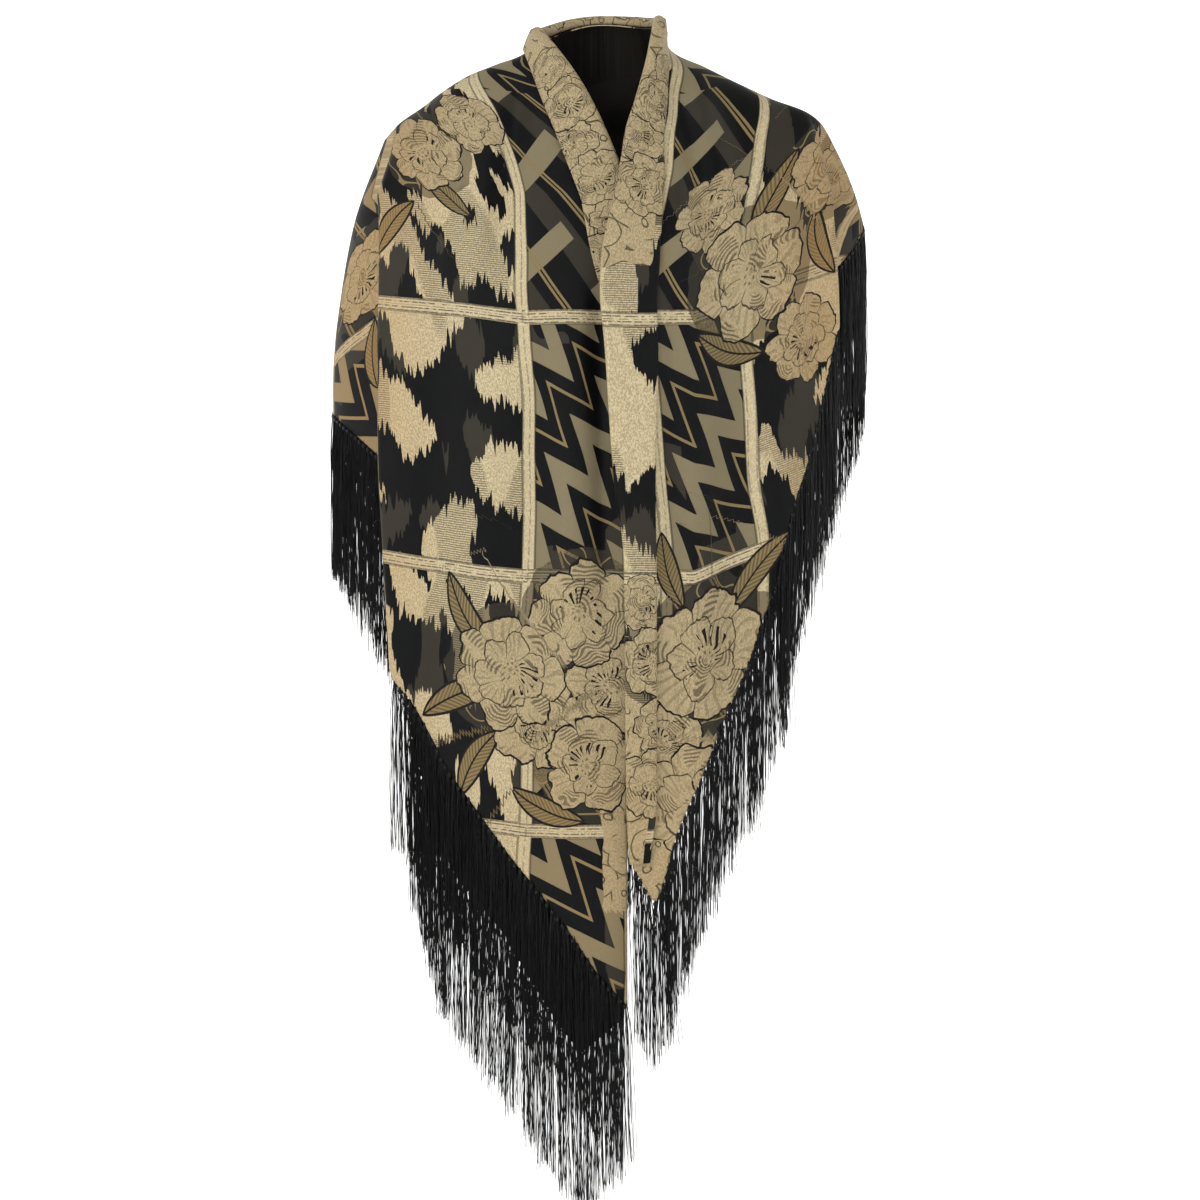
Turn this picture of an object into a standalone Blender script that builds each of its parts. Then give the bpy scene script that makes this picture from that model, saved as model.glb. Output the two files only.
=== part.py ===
"""A jacquard shawl as it is worn: a square cloth folded once near its diagonal, with a fringe on every edge.

Metres. X runs to the wearer's left, -Y is the wearer's front, Z is up. The origin lies between the shoulders, at the
foot of the neck. Every stretch of the cloth is cut from one surface, point(side, c, z): c runs from the neck edge in
front (0) over the front's outer fold (1), through the pleat (1 to 2), round the arm (3), to the middle of the back (4).
"""

import math

import bmesh
import bpy
import numpy as np
from mathutils import Vector
from mathutils.bvhtree import BVHTree

RIGHT, LEFT = -1, 1

WALL = 0.0016
SEAM_GAP = 0.0003
SEAM_SHARE = 0.6
FRINGE_LENGTH = 0.155
STRIP_HEIGHT = 0.0065
STRIP_DEPTH = 0.0022
STRAND_WIDTH = 0.0024

# The shoulder line, from the side of the neck to the shoulder's point: distance out from the middle, z. It lies at y 0.
RIDGE = {
    RIGHT: [
        (0.059, 0.024),
        (0.078, 0.008),
        (0.103, -0.001),
        (0.129, -0.011),
        (0.152, -0.025),
        (0.173, -0.041),
        (0.196, -0.057),
        (0.210, -0.073),
    ],
    LEFT: [
        (0.050, 0.036),
        (0.066, 0.011),
        (0.098, -0.003),
        (0.129, -0.018),
        (0.162, -0.033),
        (0.197, -0.046),
        (0.212, -0.058),
        (0.221, -0.073),
    ],
}
NAPE_Y = 0.070
NAPE_Z = 0.046
NECK_CORNER = 3.62

# How far out the cloth reaches over the arm: z, distance out.
ARM_LINE = {
    RIGHT: [
        (-0.073, 0.210),
        (-0.096, 0.219),
        (-0.123, 0.230),
        (-0.153, 0.240),
        (-0.196, 0.249),
        (-0.236, 0.255),
        (-0.269, 0.259),
        (-0.319, 0.262),
        (-0.400, 0.262),
    ],
    LEFT: [
        (-0.073, 0.221),
        (-0.090, 0.230),
        (-0.111, 0.240),
        (-0.140, 0.250),
        (-0.168, 0.256),
        (-0.197, 0.258),
        (-0.300, 0.258),
        (-0.400, 0.256),
    ],
}

# The front's inner edge: z, distance out. It crosses the middle, so the numbers change sign.
INNER_EDGE = {
    RIGHT: [
        (0.024, 0.059),
        (-0.036, 0.021),
        (-0.076, 0.002),
        (-0.119, -0.015),
        (-0.134, -0.019),
        (-0.200, -0.022),
        (-0.500, -0.023),
        (-0.900, -0.024),
    ],
    LEFT: [
        (0.036, 0.050),
        (0.001, 0.046),
        (-0.052, 0.034),
        (-0.076, 0.027),
        (-0.105, 0.023),
        (-0.138, 0.016),
        (-0.196, 0.004),
        (-0.224, 0.003),
        (-0.271, 0.007),
        (-0.397, 0.015),
        (-0.469, 0.024),
        (-0.693, 0.026),
        (-0.790, 0.031),
    ],
}

# The front's outer fold: z, distance out.
OUTER_FOLD = {
    RIGHT: [
        (-0.050, 0.196),
        (-0.136, 0.208),
        (-0.366, 0.208),
        (-0.475, 0.202),
        (-0.590, 0.198),
        (-0.900, 0.197),
    ],
    LEFT: [
        (-0.047, 0.195),
        (-0.075, 0.206),
        (-0.114, 0.212),
        (-0.172, 0.218),
        (-0.260, 0.221),
        (-0.900, 0.221),
    ],
}

# How deep the pleat behind that fold goes: z, depth.
PLEAT_DEPTH = {
    RIGHT: [(-0.165, 0.003), (-0.250, 0.030), (-0.360, 0.068), (-0.600, 0.072)],
    LEFT: [(-0.165, 0.003), (-0.200, 0.008), (-0.240, 0.014), (-0.600, 0.018)],
}
PLEAT_TOP = -0.088
PLEAT_GROWS_OVER = 0.085
PLEAT_TURN = 0.014
LEAST_TURN = 0.02
# Behind the pleat the cloth runs on at least this far before it leaves the front at this place c for the arm.
LEAST_RUN = 0.006
ARM_START = 2.35
ARM_REACH = 0.9

# The cloth's distance in front of and behind the body's middle: z, y in the middle, y at the outer fold.
CHEST = [
    (-0.076, -0.086, -0.040),
    (-0.130, -0.117, -0.062),
    (-0.180, -0.136, -0.078),
    (-0.240, -0.147, -0.088),
    (-0.320, -0.150, -0.093),
    (-0.500, -0.148, -0.096),
    (-0.720, -0.142, -0.100),
    (-0.950, -0.136, -0.104),
]
CHEST_WIDTH = 0.210
CHEST_POWER = 2.5
BACK = [
    (-0.130, 0.106),
    (-0.200, 0.116),
    (-0.300, 0.112),
    (-0.400, 0.104),
    (-0.550, 0.108),
    (-0.700, 0.112),
    (-0.850, 0.108),
]
BACK_ROUND = 2.35
YOKE_Z = -0.130
YOKE_POWER_Y = 0.62
YOKE_POWER_OUT = 0.9
YOKE_EDGE_POWER = 1.5
YOKE_ARM_FADE = 0.7
SLOPE_STEP = 0.002
# Shares of the shoulder line's length at the places c 1 and 2.
RIDGE_SHARES = (0.80, 0.93)

# How far the wearer's left front lies in front of the right one near the middle: z, lift.
OVERLAP_LIFT = [
    (-0.050, 0.000),
    (-0.130, 0.018),
    (-0.180, 0.020),
    (-0.270, 0.018),
    (-0.340, 0.012),
    (-0.800, 0.011),
]
OVERLAP_OUT = 0.066
OVERLAP_FADE = 0.050

# The hems: distance out and z along each front.
FRONT_HEM = {
    RIGHT: [
        (-0.024, -0.890),
        (0.005, -0.857),
        (0.026, -0.826),
        (0.059, -0.781),
        (0.081, -0.754),
        (0.105, -0.722),
        (0.124, -0.695),
        (0.142, -0.671),
        (0.181, -0.604),
        (0.198, -0.585),
        (0.230, -0.550),
    ],
    LEFT: [
        (0.026, -0.752),
        (0.036, -0.768),
        (0.049, -0.788),
        (0.070, -0.724),
        (0.096, -0.663),
        (0.117, -0.612),
        (0.136, -0.570),
        (0.150, -0.528),
        (0.164, -0.490),
        (0.178, -0.420),
        (0.192, -0.378),
        (0.207, -0.320),
        (0.221, -0.258),
        (0.260, -0.150),
    ],
}
# The hems behind that: place c and z through the pleat, round the arm and across the back.
REAR_HEM = {
    RIGHT: [
        (1.0, -0.585),
        (1.5, -0.500),
        (2.0, -0.430),
        (2.4, -0.380),
        (3.0, -0.335),
        (3.2, -0.372),
        (3.4, -0.436),
        (3.6, -0.540),
        (3.8, -0.690),
        (3.93, -0.800),
        (4.0, -0.730),
    ],
    LEFT: [
        (1.0, -0.258),
        (1.5, -0.236),
        (2.0, -0.218),
        (2.4, -0.204),
        (3.0, -0.155),
        (3.1, -0.195),
        (3.2, -0.235),
        (3.4, -0.315),
        (3.6, -0.420),
        (3.8, -0.553),
        (4.0, -0.730),
    ],
}
APEX_PLACE = 3.93

# Creases and soft ridges: the upper and lower end as distance out and z, half width, and depth towards the body.
FRONT_FOLDS = {
    RIGHT: [
        ((0.074, 0.000), (0.093, -0.185), 0.013, 0.009),
        ((0.112, -0.020), (0.122, -0.240), 0.016, -0.005),
        ((0.140, -0.040), (0.152, -0.320), 0.018, 0.005),
        ((0.003, -0.225), (-0.006, -0.520), 0.010, 0.007),
        ((0.030, -0.260), (0.026, -0.720), 0.018, -0.005),
        ((0.060, -0.300), (0.055, -0.760), 0.017, 0.005),
        ((0.110, -0.360), (0.104, -0.720), 0.022, -0.005),
        ((0.158, -0.320), (0.150, -0.660), 0.020, 0.006),
    ],
    LEFT: [
        ((0.064, 0.000), (0.102, -0.180), 0.013, 0.009),
        ((0.094, -0.020), (0.130, -0.220), 0.016, -0.005),
        ((0.128, -0.030), (0.165, -0.260), 0.018, 0.006),
        ((0.066, -0.200), (0.064, -0.700), 0.011, 0.006),
        ((0.096, -0.260), (0.090, -0.640), 0.018, -0.005),
        ((0.130, -0.260), (0.122, -0.580), 0.018, 0.006),
        ((0.168, -0.140), (0.166, -0.460), 0.018, -0.005),
        ((0.200, -0.120), (0.198, -0.330), 0.014, 0.005),
    ],
}
BACK_FOLDS = [
    ((0.170, -0.120), (0.120, -0.540), 0.024, 0.010),
    ((0.130, -0.080), (0.080, -0.640), 0.022, -0.007),
    ((0.090, -0.060), (0.038, -0.700), 0.022, 0.009),
    ((0.040, -0.100), (-0.004, -0.740), 0.022, -0.007),
    ((-0.010, -0.160), (-0.040, -0.760), 0.020, 0.008),
    ((-0.060, -0.080), (-0.080, -0.700), 0.020, -0.007),
    ((-0.110, -0.060), (-0.120, -0.620), 0.022, 0.009),
    ((-0.160, -0.080), (-0.160, -0.520), 0.022, -0.007),
    ((-0.200, -0.140), (-0.200, -0.440), 0.018, 0.007),
]
FOLD_FADE = 0.070
# Below the top line the folds grow over this drop; those in front fade out before the pleat, those behind start past it.
FOLD_DROP = 0.05
FRONT_FOLDS_FADE = 0.4
BACK_FOLDS_START = 3.05

ROWS = 18
ROW_POWER = 1.4
HEM_STEPS = 30
PROBE = 0.004
# The share of its distance from the shoulder line's plane that a wall may reach back towards it.
OWN_HALF = 0.9

# The second layer below the right front: distance out, z of its hem, z of its upper end behind the front.
UNDER_LAYER = [
    (0.185, -0.638, -0.603),
    (0.163, -0.722, -0.607),
    (0.141, -0.769, -0.610),
    (0.118, -0.797, -0.615),
    (0.094, -0.824, -0.630),
    (0.082, -0.845, -0.640),
    (0.061, -0.880, -0.660),
    (0.038, -0.915, -0.700),
    (0.020, -0.938, -0.730),
    (0.000, -0.921, -0.750),
    (-0.021, -0.904, -0.770),
]
UNDER_ROWS = 8
UNDER_NEAR = 0.0033
UNDER_FAR = 0.0110
UNDER_SPREAD = 1.6

# The turned neck edge, from below up to the side of the neck: z, width, height of the roll.
RIGHT_ROLL = [
    (-0.271, 0.010, 0.0055),
    (-0.227, 0.022, 0.0065),
    (-0.177, 0.034, 0.0075),
    (-0.110, 0.040, 0.0100),
    (-0.040, 0.036, 0.012),
    (0.024, 0.020, 0.012),
]
LEFT_BAND = [
    (-0.752, 0.016, 0.005),
    (-0.690, 0.025, 0.006),
    (-0.469, 0.026, 0.007),
    (-0.397, 0.034, 0.007),
    (-0.271, 0.044, 0.009),
    (-0.196, 0.048, 0.010),
    (-0.138, 0.040, 0.011),
    (-0.052, 0.027, 0.011),
    (0.036, 0.016, 0.012),
]
NAPE_WIDTH = 0.044
NAPE_ROLL = 0.013
ROLL_CLEAR = 0.0022
ROLL_GAP = 0.0009
ROLL_PROBE = 0.05
ROLL_SLOPE_POWER = 0.8

CORNER_REACH = 0.03
LEAST_STEP = 0.005
EDGE_STEP = 0.01
NAPE_START = 0.010
NAPE_TURN = 0.5
NAPE_STEP = 0.03
NAPE_SECTIONS = 9
ROLL_TURN = np.linspace(0, math.pi, 6)
ROLL_SPREAD = (0.25, 0.5, 0.75, 1.0)

# Places c of the columns of points across each stretch.
TURN_PLACES = [1.11, 1.22, 1.333, 1.5]
ARM_TURN_PLACES = [1.5, 1.667, 1.78, 1.89, 2.0, 2.18, ARM_START, 2.48, 2.61, 2.74, 2.87, 3.0]
ARM_PLACES = {side: ARM_TURN_PLACES for side in (RIGHT, LEFT)}
FRONT_PLACES = {
    RIGHT: list(np.linspace(0, 1, 14)) + TURN_PLACES,
    LEFT: [0, 0.06, 0.12] + list(np.linspace(0.12, 1, 13)[1:]) + TURN_PLACES,
}
BACK_PLACES = {
    RIGHT: [3, 3.09, 3.18, 3.28, 3.38, 3.48, 3.58, 3.68, 3.77, 3.86, APEX_PLACE, 4],
    LEFT: [3, 3.09, 3.18, 3.28, 3.38, 3.48, 3.58, 3.68, 3.78, 3.89, 4],
}

# Each run of fringe along a hem: side, its places, the places c where it starts and stops, its strands.
FRINGES = {
    "fringe_right_front": (RIGHT, FRONT_PLACES, 0.0, 1.0, 46),
    "fringe_left_front": (LEFT, FRONT_PLACES, 0.0, 1.0, 40),
    "fringe_right_arm": (RIGHT, ARM_PLACES, 2.36, 2.995, 12),
    "fringe_left_arm": (LEFT, ARM_PLACES, 2.36, 2.995, 9),
    "fringe_back_right": (RIGHT, BACK_PLACES, 3.005, 3.998, 32),
    "fringe_back_left": (LEFT, BACK_PLACES, 3.005, 3.998, 30),
}
UNDER_STRANDS = 38
STEEP_WEIGHT = 0.6
STEEPEST = 2.2
STRAND_SWAY = 0.0025
SWAY_STEP = 0.2
STRAND_SIDE_SWAY = (1, 0.3, 0)
STRAND_RINGS = ((0.45, 0.85), (1.0, 0.60))
STRAND_UNEVEN = 0.04
UNEVEN_STEP = 1.7
WIDEST_SHARE = 0.6
STRIP_DROP = 1.3

BLACK = (0.012, 0.012, 0.014)
GOLD = (0.42, 0.31, 0.17)
REVERSE = (0.035, 0.031, 0.024)


def smooth(xs, ys, at):
    """The curve through the points (xs, ys), which never overshoots them, at the places at."""
    xs, ys = np.asarray(xs, float), np.asarray(ys, float)
    if xs[0] > xs[-1]:
        xs, ys = xs[::-1], ys[::-1]
    steps = np.diff(xs)
    slopes = np.diff(ys) / steps
    tangents = np.zeros_like(ys)
    same = slopes[:-1] * slopes[1:] > 0
    tangents[1:-1][same] = 2 * slopes[:-1][same] * slopes[1:][same] / (slopes[:-1] + slopes[1:])[same]
    tangents[0], tangents[-1] = slopes[0], slopes[-1]
    at = np.clip(at, xs[0], xs[-1])
    i = np.clip(np.searchsorted(xs, at) - 1, 0, len(steps) - 1)
    t = (at - xs[i]) / steps[i]
    start = (2 * t**3 - 3 * t**2 + 1) * ys[i] + (t**3 - 2 * t**2 + t) * steps[i] * tangents[i]
    end = (3 * t**2 - 2 * t**3) * ys[i + 1] + (t**3 - t**2) * steps[i] * tangents[i + 1]
    return start + end


def read(table, at, column=1):
    """A column of a table at a place in its first column."""
    rows = np.array(table)
    return smooth(rows[:, 0], rows[:, column], at)


def ramp(value):
    value = np.clip(value, 0, 1)
    return value * value * (3 - 2 * value)


def fold_depth(table, out, z):
    """What the folds of a table add at a place, towards the body."""
    total = np.zeros(np.broadcast(out, z).shape)
    for (top_out, top_z), (low_out, low_z), half_width, depth in table:
        line = np.interp(z, (low_z, top_z), (low_out, top_out))
        ends = ramp((top_z + FOLD_FADE / 2 - z) / FOLD_FADE) * ramp((z - low_z + FOLD_FADE / 2) / FOLD_FADE)
        total = total + depth * ends * np.exp(-(((out - line) / half_width) ** 2))
    return total


def front_y(side, out, z):
    """y of the front's outer face, without its folds."""
    middle, edge = read(CHEST, z, 1), read(CHEST, z, 2)
    y = middle + (edge - middle) * (np.abs(out) / CHEST_WIDTH) ** CHEST_POWER
    if side == LEFT:
        y = y - read(OVERLAP_LIFT, z) * ramp((OVERLAP_OUT + OVERLAP_FADE - out) / OVERLAP_FADE)
    return y


def beside_front(side, out, z, behind):
    """A place behind the front, measured square to it."""
    ahead, before = front_y(side, out + SLOPE_STEP, z), front_y(side, out - SLOPE_STEP, z)
    slope = (ahead - before) / (2 * SLOPE_STEP)
    length = np.sqrt(1 + slope**2)
    place = np.stack([out - behind * slope / length, front_y(side, out, z) + behind / length])
    return place, np.stack([1 / length, slope / length])


def pleat_path(side, c, z):
    """How far along the front and behind it the pleat runs: a turn in, a straight stretch, and a turn back."""
    angle = math.pi * ramp((PLEAT_TOP - z) / PLEAT_GROWS_OVER) + LEAST_TURN
    depth = read(PLEAT_DEPTH[side], z)
    radius = PLEAT_TURN / angle
    first, run, second = (np.clip(3 * (c - 1) - k, 0, 1) for k in range(3))
    along = radius * np.sin(angle * first) + depth * run * np.cos(angle)
    along = along + radius * (np.sin(angle) - np.sin(angle * (1 - second)))
    behind = radius * (1 - np.cos(angle * first)) + depth * run * np.sin(angle)
    behind = behind + radius * (np.cos(angle * (1 - second)) - np.cos(angle))
    return along, behind


def section(side, c, z):
    """Distance out and y of the level section at height z, at the places c."""
    fold = read(OUTER_FOLD[side], z)
    inner = read(INNER_EDGE[side], z)
    along, behind = pleat_path(side, np.clip(c, 1, 2), z)
    out = inner + (fold - inner) * np.clip(c, 0, 1) + along
    layer_run = np.maximum(fold - out, LEAST_RUN) * np.clip((c - 2) / (ARM_START - 2), 0, 1) * (c > 2)
    place, tangent = beside_front(side, out + layer_run, z, behind)

    arm = read(ARM_LINE[side], z)
    t = np.clip((c - ARM_START) / (3 - ARM_START), 0, 1)
    reach = ARM_REACH * np.hypot(arm - place[0], place[1])
    start, end = 2 * t**3 - 3 * t**2 + 1, 3 * t**2 - 2 * t**3
    leave, arrive = t**3 - 2 * t**2 + t, t**3 - t**2
    round_arm = np.stack([
        start * place[0] + leave * reach * tangent[0] + end * arm,
        start * place[1] + leave * reach * tangent[1] + arrive * reach,
    ])

    turn = np.clip(c - 3, 0, 1) * math.pi / 2
    back = np.stack([
        arm * np.abs(np.cos(turn)) ** (2 / BACK_ROUND),
        read(BACK, z) * np.sin(turn) ** (2 / BACK_ROUND),
    ])
    return np.where(c <= ARM_START, place, np.where(c <= 3, round_arm, back))


def top_line(side, c):
    """Where the fall of cloth at c starts: on the shoulder line, or on the neck edge behind."""
    ridge = np.array(RIDGE[side])
    lengths = np.concatenate([[0], np.cumsum(np.hypot(*np.diff(ridge, axis=0).T))])
    share = np.interp(c, (0, 1, 2, 3, NECK_CORNER), (0, *RIDGE_SHARES, 1, 0)) * lengths[-1]
    on_ridge = np.stack([smooth(lengths, ridge[:, 0], share), 0 * share, smooth(lengths, ridge[:, 1], share)])
    turn = np.clip((c - NECK_CORNER) / (4 - NECK_CORNER), 0, 1) * math.pi / 2
    corner_out, corner_z = ridge[0]
    on_neck = np.stack([
        corner_out * np.cos(turn),
        NAPE_Y * np.sin(turn),
        corner_z + (NAPE_Z - corner_z) * np.sin(turn) ** 2,
    ])
    return np.where(c > NECK_CORNER, on_neck, on_ridge)


def yoke(side, c, z):
    """The cloth over the shoulders: it leaves the shoulder line level and falls into the section at YOKE_Z."""
    top = top_line(side, c)
    foot = section(side, c, np.full(np.shape(c), YOKE_Z))
    share = np.clip((top[2] - z) / (top[2] - YOKE_Z), 0, 1)
    y = top[1] + (foot[1] - top[1]) * share**YOKE_POWER_Y
    out = top[0] + (foot[0] - top[0]) * share**YOKE_POWER_OUT
    near_edge = np.clip(1 - c, 0, 1) ** YOKE_EDGE_POWER
    edge = top_line(side, np.zeros(1))[:, 0]
    edge_foot = read(INNER_EDGE[side], YOKE_Z)
    edge_share = np.clip((edge[2] - z) / (edge[2] - YOKE_Z), 0, 1)
    plain_edge = edge[0] + (edge_foot - edge[0]) * edge_share**YOKE_POWER_OUT
    out = out + near_edge * (read(INNER_EDGE[side], z) - plain_edge)
    arm_top = top_line(side, np.full(1, 3.0))[:, 0]
    arm_share = np.clip((arm_top[2] - z) / (arm_top[2] - YOKE_Z), 0, 1)
    plain_arm = arm_top[0] + (read(ARM_LINE[side], YOKE_Z) - arm_top[0]) * arm_share**YOKE_POWER_OUT
    near_arm = np.clip(1 - np.abs(c - 3) / YOKE_ARM_FADE, 0, 1) * (z < arm_top[2])
    return np.stack([out + near_arm * (read(ARM_LINE[side], z) - plain_arm), y])


def point(side, c, z):
    """The outer face of the cloth at the places c and the heights z, as (..., 3)."""
    c, z = np.broadcast_arrays(np.asarray(c, float), np.asarray(z, float))
    top_z = top_line(side, c)[2]
    z = np.minimum(z, top_z)
    out, y = np.where(z < YOKE_Z, section(side, c, np.minimum(z, YOKE_Z)), yoke(side, c, z))
    settle = ramp((top_z - z) / FOLD_DROP)
    front = np.clip((2 - c) / FRONT_FOLDS_FADE, 0, 1)
    y = y + front * settle * fold_depth(FRONT_FOLDS[side], out, z)
    y = y - ramp(c - BACK_FOLDS_START) * settle * fold_depth(BACK_FOLDS, side * out, z)
    return np.stack([side * out, y, z], axis=-1)


def hem_height(side, c):
    """z of the hem at each place c."""
    c = np.asarray(c, float)
    z = np.where(c <= 1, -0.5, read(REAR_HEM[side], c))
    for _ in range(HEM_STEPS):
        on_front = read(FRONT_HEM[side], side * point(side, c, z)[..., 0])
        z = np.where(c <= 1, (z + on_front) / 2, z)
    return z


def fall(side, c, rows):
    """Points down the cloth at the places c, from the top line to the hem."""
    top, low = top_line(side, c)[2], hem_height(side, c)
    return point(side, c[None, :], top + (low - top) * np.linspace(0, 1, rows)[:, None] ** ROW_POWER)


def stretch(side, places, rows=ROWS):
    """A grid of points from the top line to the hem, and the outward directions there."""
    c = np.array(places, float)
    grid = fall(side, c, rows)
    across = fall(side, np.minimum(c + PROBE, 4), rows) - fall(side, np.maximum(c - PROBE, 0), rows)
    across[:, c >= 4] = (-side, 0, 0)
    outward = np.cross(np.gradient(grid, axis=0), across) * side
    ridge = (top_line(side, np.minimum(c + PROBE, 4)) - top_line(side, c)).T * (side, 1, 1)
    ridge *= np.sign(ridge[:, :1])
    upright = np.stack([-ridge[:, 2], 0 * ridge[:, 1], ridge[:, 0]], axis=-1)
    on_ridge = c <= NECK_CORNER
    outward[0, on_ridge] = upright[on_ridge]
    outward[:, c == 3, 1] = 0
    outward /= np.linalg.norm(outward, axis=2, keepdims=True)
    room = np.abs(grid[..., 1]) * OWN_HALF / WALL
    outward[..., 1] = np.clip(outward[..., 1], -room, room)
    across[0] = across[1]
    across /= np.linalg.norm(across, axis=2, keepdims=True)
    half_gap = SEAM_GAP * SEAM_SHARE
    if c[0] > 0:
        grid[:, 0] += across[:, 0] * half_gap
    if c[-1] < 4:
        grid[:, -1] -= across[:, -1] * half_gap
    grid[0, :, 1] += np.where(c <= 3, -half_gap, half_gap) if c[0] < 3 else half_gap
    return grid, outward


def make_object(name, points, faces, colour, roughness=0.8):
    """One closed mesh object with its own plain material, its faces turned outwards."""
    mesh = bpy.data.meshes.new(name)
    mesh.from_pydata([tuple(p) for p in points], [], faces)
    shape = bmesh.new()
    shape.from_mesh(mesh)
    bmesh.ops.recalc_face_normals(shape, faces=shape.faces)
    shape.to_mesh(mesh)
    shape.free()
    mesh.shade_smooth()
    material = bpy.data.materials.new(name)
    material.use_nodes = True
    shader = material.node_tree.nodes["Principled BSDF"]
    shader.inputs["Base Color"].default_value = (*colour, 1)
    shader.inputs["Roughness"].default_value = roughness
    shader.inputs["Metallic"].default_value = 0
    mesh.materials.append(material)
    obj = bpy.data.objects.new(name, mesh)
    bpy.context.scene.collection.objects.link(obj)
    return obj


def grid_faces(rows, columns, first=0, flip=False):
    faces = []
    for i in range(rows - 1):
        for j in range(columns - 1):
            a = first + i * columns + j
            face = (a, a + 1, a + columns + 1, a + columns)
            faces.append(face[::-1] if flip else face)
    return faces


def split_faces(grid, first=0, flip=False):
    """The faces of a grid of points, each cut along its shorter diagonal."""
    rows, columns = grid.shape[:2]
    faces = []
    for a, b, c, d in grid_faces(rows, columns):
        corners = [grid[k // columns, k % columns] for k in (a, b, c, d)]
        if np.linalg.norm(corners[0] - corners[2]) < np.linalg.norm(corners[1] - corners[3]):
            pair = (a, b, c), (a, c, d)
        else:
            pair = (a, b, d), (b, c, d)
        for face in pair:
            face = tuple(first + k for k in face)
            faces.append(face[::-1] if flip else face)
    return faces


def wall(name, grid, outward, colour, thickness=WALL):
    """A wall of even thickness whose outer face is the grid. Both sides of a seam are divided alike."""
    rows, columns = grid.shape[:2]
    count = rows * columns
    points = np.concatenate([grid.reshape(-1, 3), (grid - outward * thickness).reshape(-1, 3)])
    faces = split_faces(grid) + split_faces(grid, count, flip=True)
    index = np.arange(count).reshape(rows, columns)
    rim = np.concatenate([index[0, :-1], index[:-1, -1], index[-1, :0:-1], index[:0:-1, 0]])
    for a, b in zip(rim, np.roll(rim, -1)):
        first, second = min(a, b), max(a, b)
        across = (first, first + count, second + count), (first, second + count, second)
        faces += across if a < b else [face[::-1] for face in across]
    return make_object(name, points, [tuple(int(k) for k in face) for face in faces], colour)


def make_panels():
    """The fronts, arms and back. Returns the outer faces of each, for what lies on them."""
    faces = {}
    for side, word in ((RIGHT, "right"), (LEFT, "left")):
        for name, places in ((f"{word}_front", FRONT_PLACES[side]), (f"{word}_arm", ARM_PLACES[side])):
            faces[name] = stretch(side, places)
    (right_grid, right_outward), (left_grid, left_outward) = (stretch(s, BACK_PLACES[s]) for s in (RIGHT, LEFT))
    faces["back"] = (
        np.concatenate([right_grid, left_grid[:, -2::-1]], axis=1),
        np.concatenate([right_outward, left_outward[:, -2::-1]], axis=1),
    )
    for name, (grid, outward) in faces.items():
        wall(name, grid, outward, GOLD)
    return faces


def under_place(out, z, share):
    """A place on the second layer; share runs from its upper end (0) to its hem (1)."""
    behind = UNDER_NEAR + (UNDER_FAR - UNDER_NEAR) * ramp(share * UNDER_SPREAD)
    (place_out, y), _ = beside_front(RIGHT, out, z, behind)
    y = y + fold_depth(FRONT_FOLDS[RIGHT], out, z)
    return np.stack([-place_out, y, z], axis=-1)


def make_under_layer():
    """The second layer, which hangs close behind the right front and reaches lower."""
    out, low, top = np.array(UNDER_LAYER).T
    share = np.linspace(0, 1, UNDER_ROWS)[:, None]
    grid = under_place(np.broadcast_to(out, (UNDER_ROWS, len(out))), top + (low - top) * share, share)
    outward = np.cross(np.gradient(grid, axis=0), np.gradient(grid, axis=1))
    outward *= np.sign(-outward[..., 1:2])
    outward /= np.linalg.norm(outward, axis=2, keepdims=True)
    wall("under_layer", grid, outward, REVERSE)


def skin_tree(faces):
    """The outer faces as one searchable skin."""
    points, polygons = [], []
    for grid, _ in faces:
        polygons += grid_faces(*grid.shape[:2], first=len(points))
        points += [Vector(p) for p in grid.reshape(-1, 3)]
    return BVHTree.FromPolygons(points, polygons)


def unit(vector):
    return vector / np.linalg.norm(vector)


def front_edge_frame(side, z, face):
    """On the front's neck edge: its point, the direction out over the cloth, the direction away from the body."""
    grid, outward = face
    top_z = RIDGE[side][0][1]
    edge = point(side, 0.0, z)
    rise = unit(point(side, 0.0, min(z + EDGE_STEP, top_z)) - point(side, 0.0, z - EDGE_STEP))
    away = unit(np.array([np.interp(z, grid[::-1, 0, 2], outward[::-1, 0, k]) for k in range(3)]))
    across = unit(np.cross(rise, away) * side)
    ridge = unit(grid[0, 1] - grid[0, 0])
    out = unit(across + (ridge - across) * ramp(1 - (top_z - z) / CORNER_REACH))
    return edge, out, unit(away - out * (away @ out))


def nape_frame(side, t, face):
    """The same on the neck edge behind: t runs from the side of the neck (0) to the nape (1)."""
    _, corner_out, corner_away = front_edge_frame(side, RIDGE[side][0][1], face)
    c = NECK_CORNER + (4 - NECK_CORNER) * np.clip([t - NAPE_STEP, t, t + NAPE_STEP], 0, 1)
    before, edge, after = (top_line(side, c) * np.array([[side], [1], [1]])).T
    if t == 1:
        after = before * (-1, 1, 1)
    down_cloth = unit(point(side, c[1], edge[2] - NAPE_WIDTH) - edge)
    away = unit(np.cross(after - before, down_cloth))
    away *= np.sign(away @ (0, 1, 1))
    share = ramp(t / NAPE_TURN)
    out = unit((1 - share) * corner_out + share * down_cloth)
    away = (1 - share) * corner_away + share * away
    return edge, out, unit(away - out * (away @ out))


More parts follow.
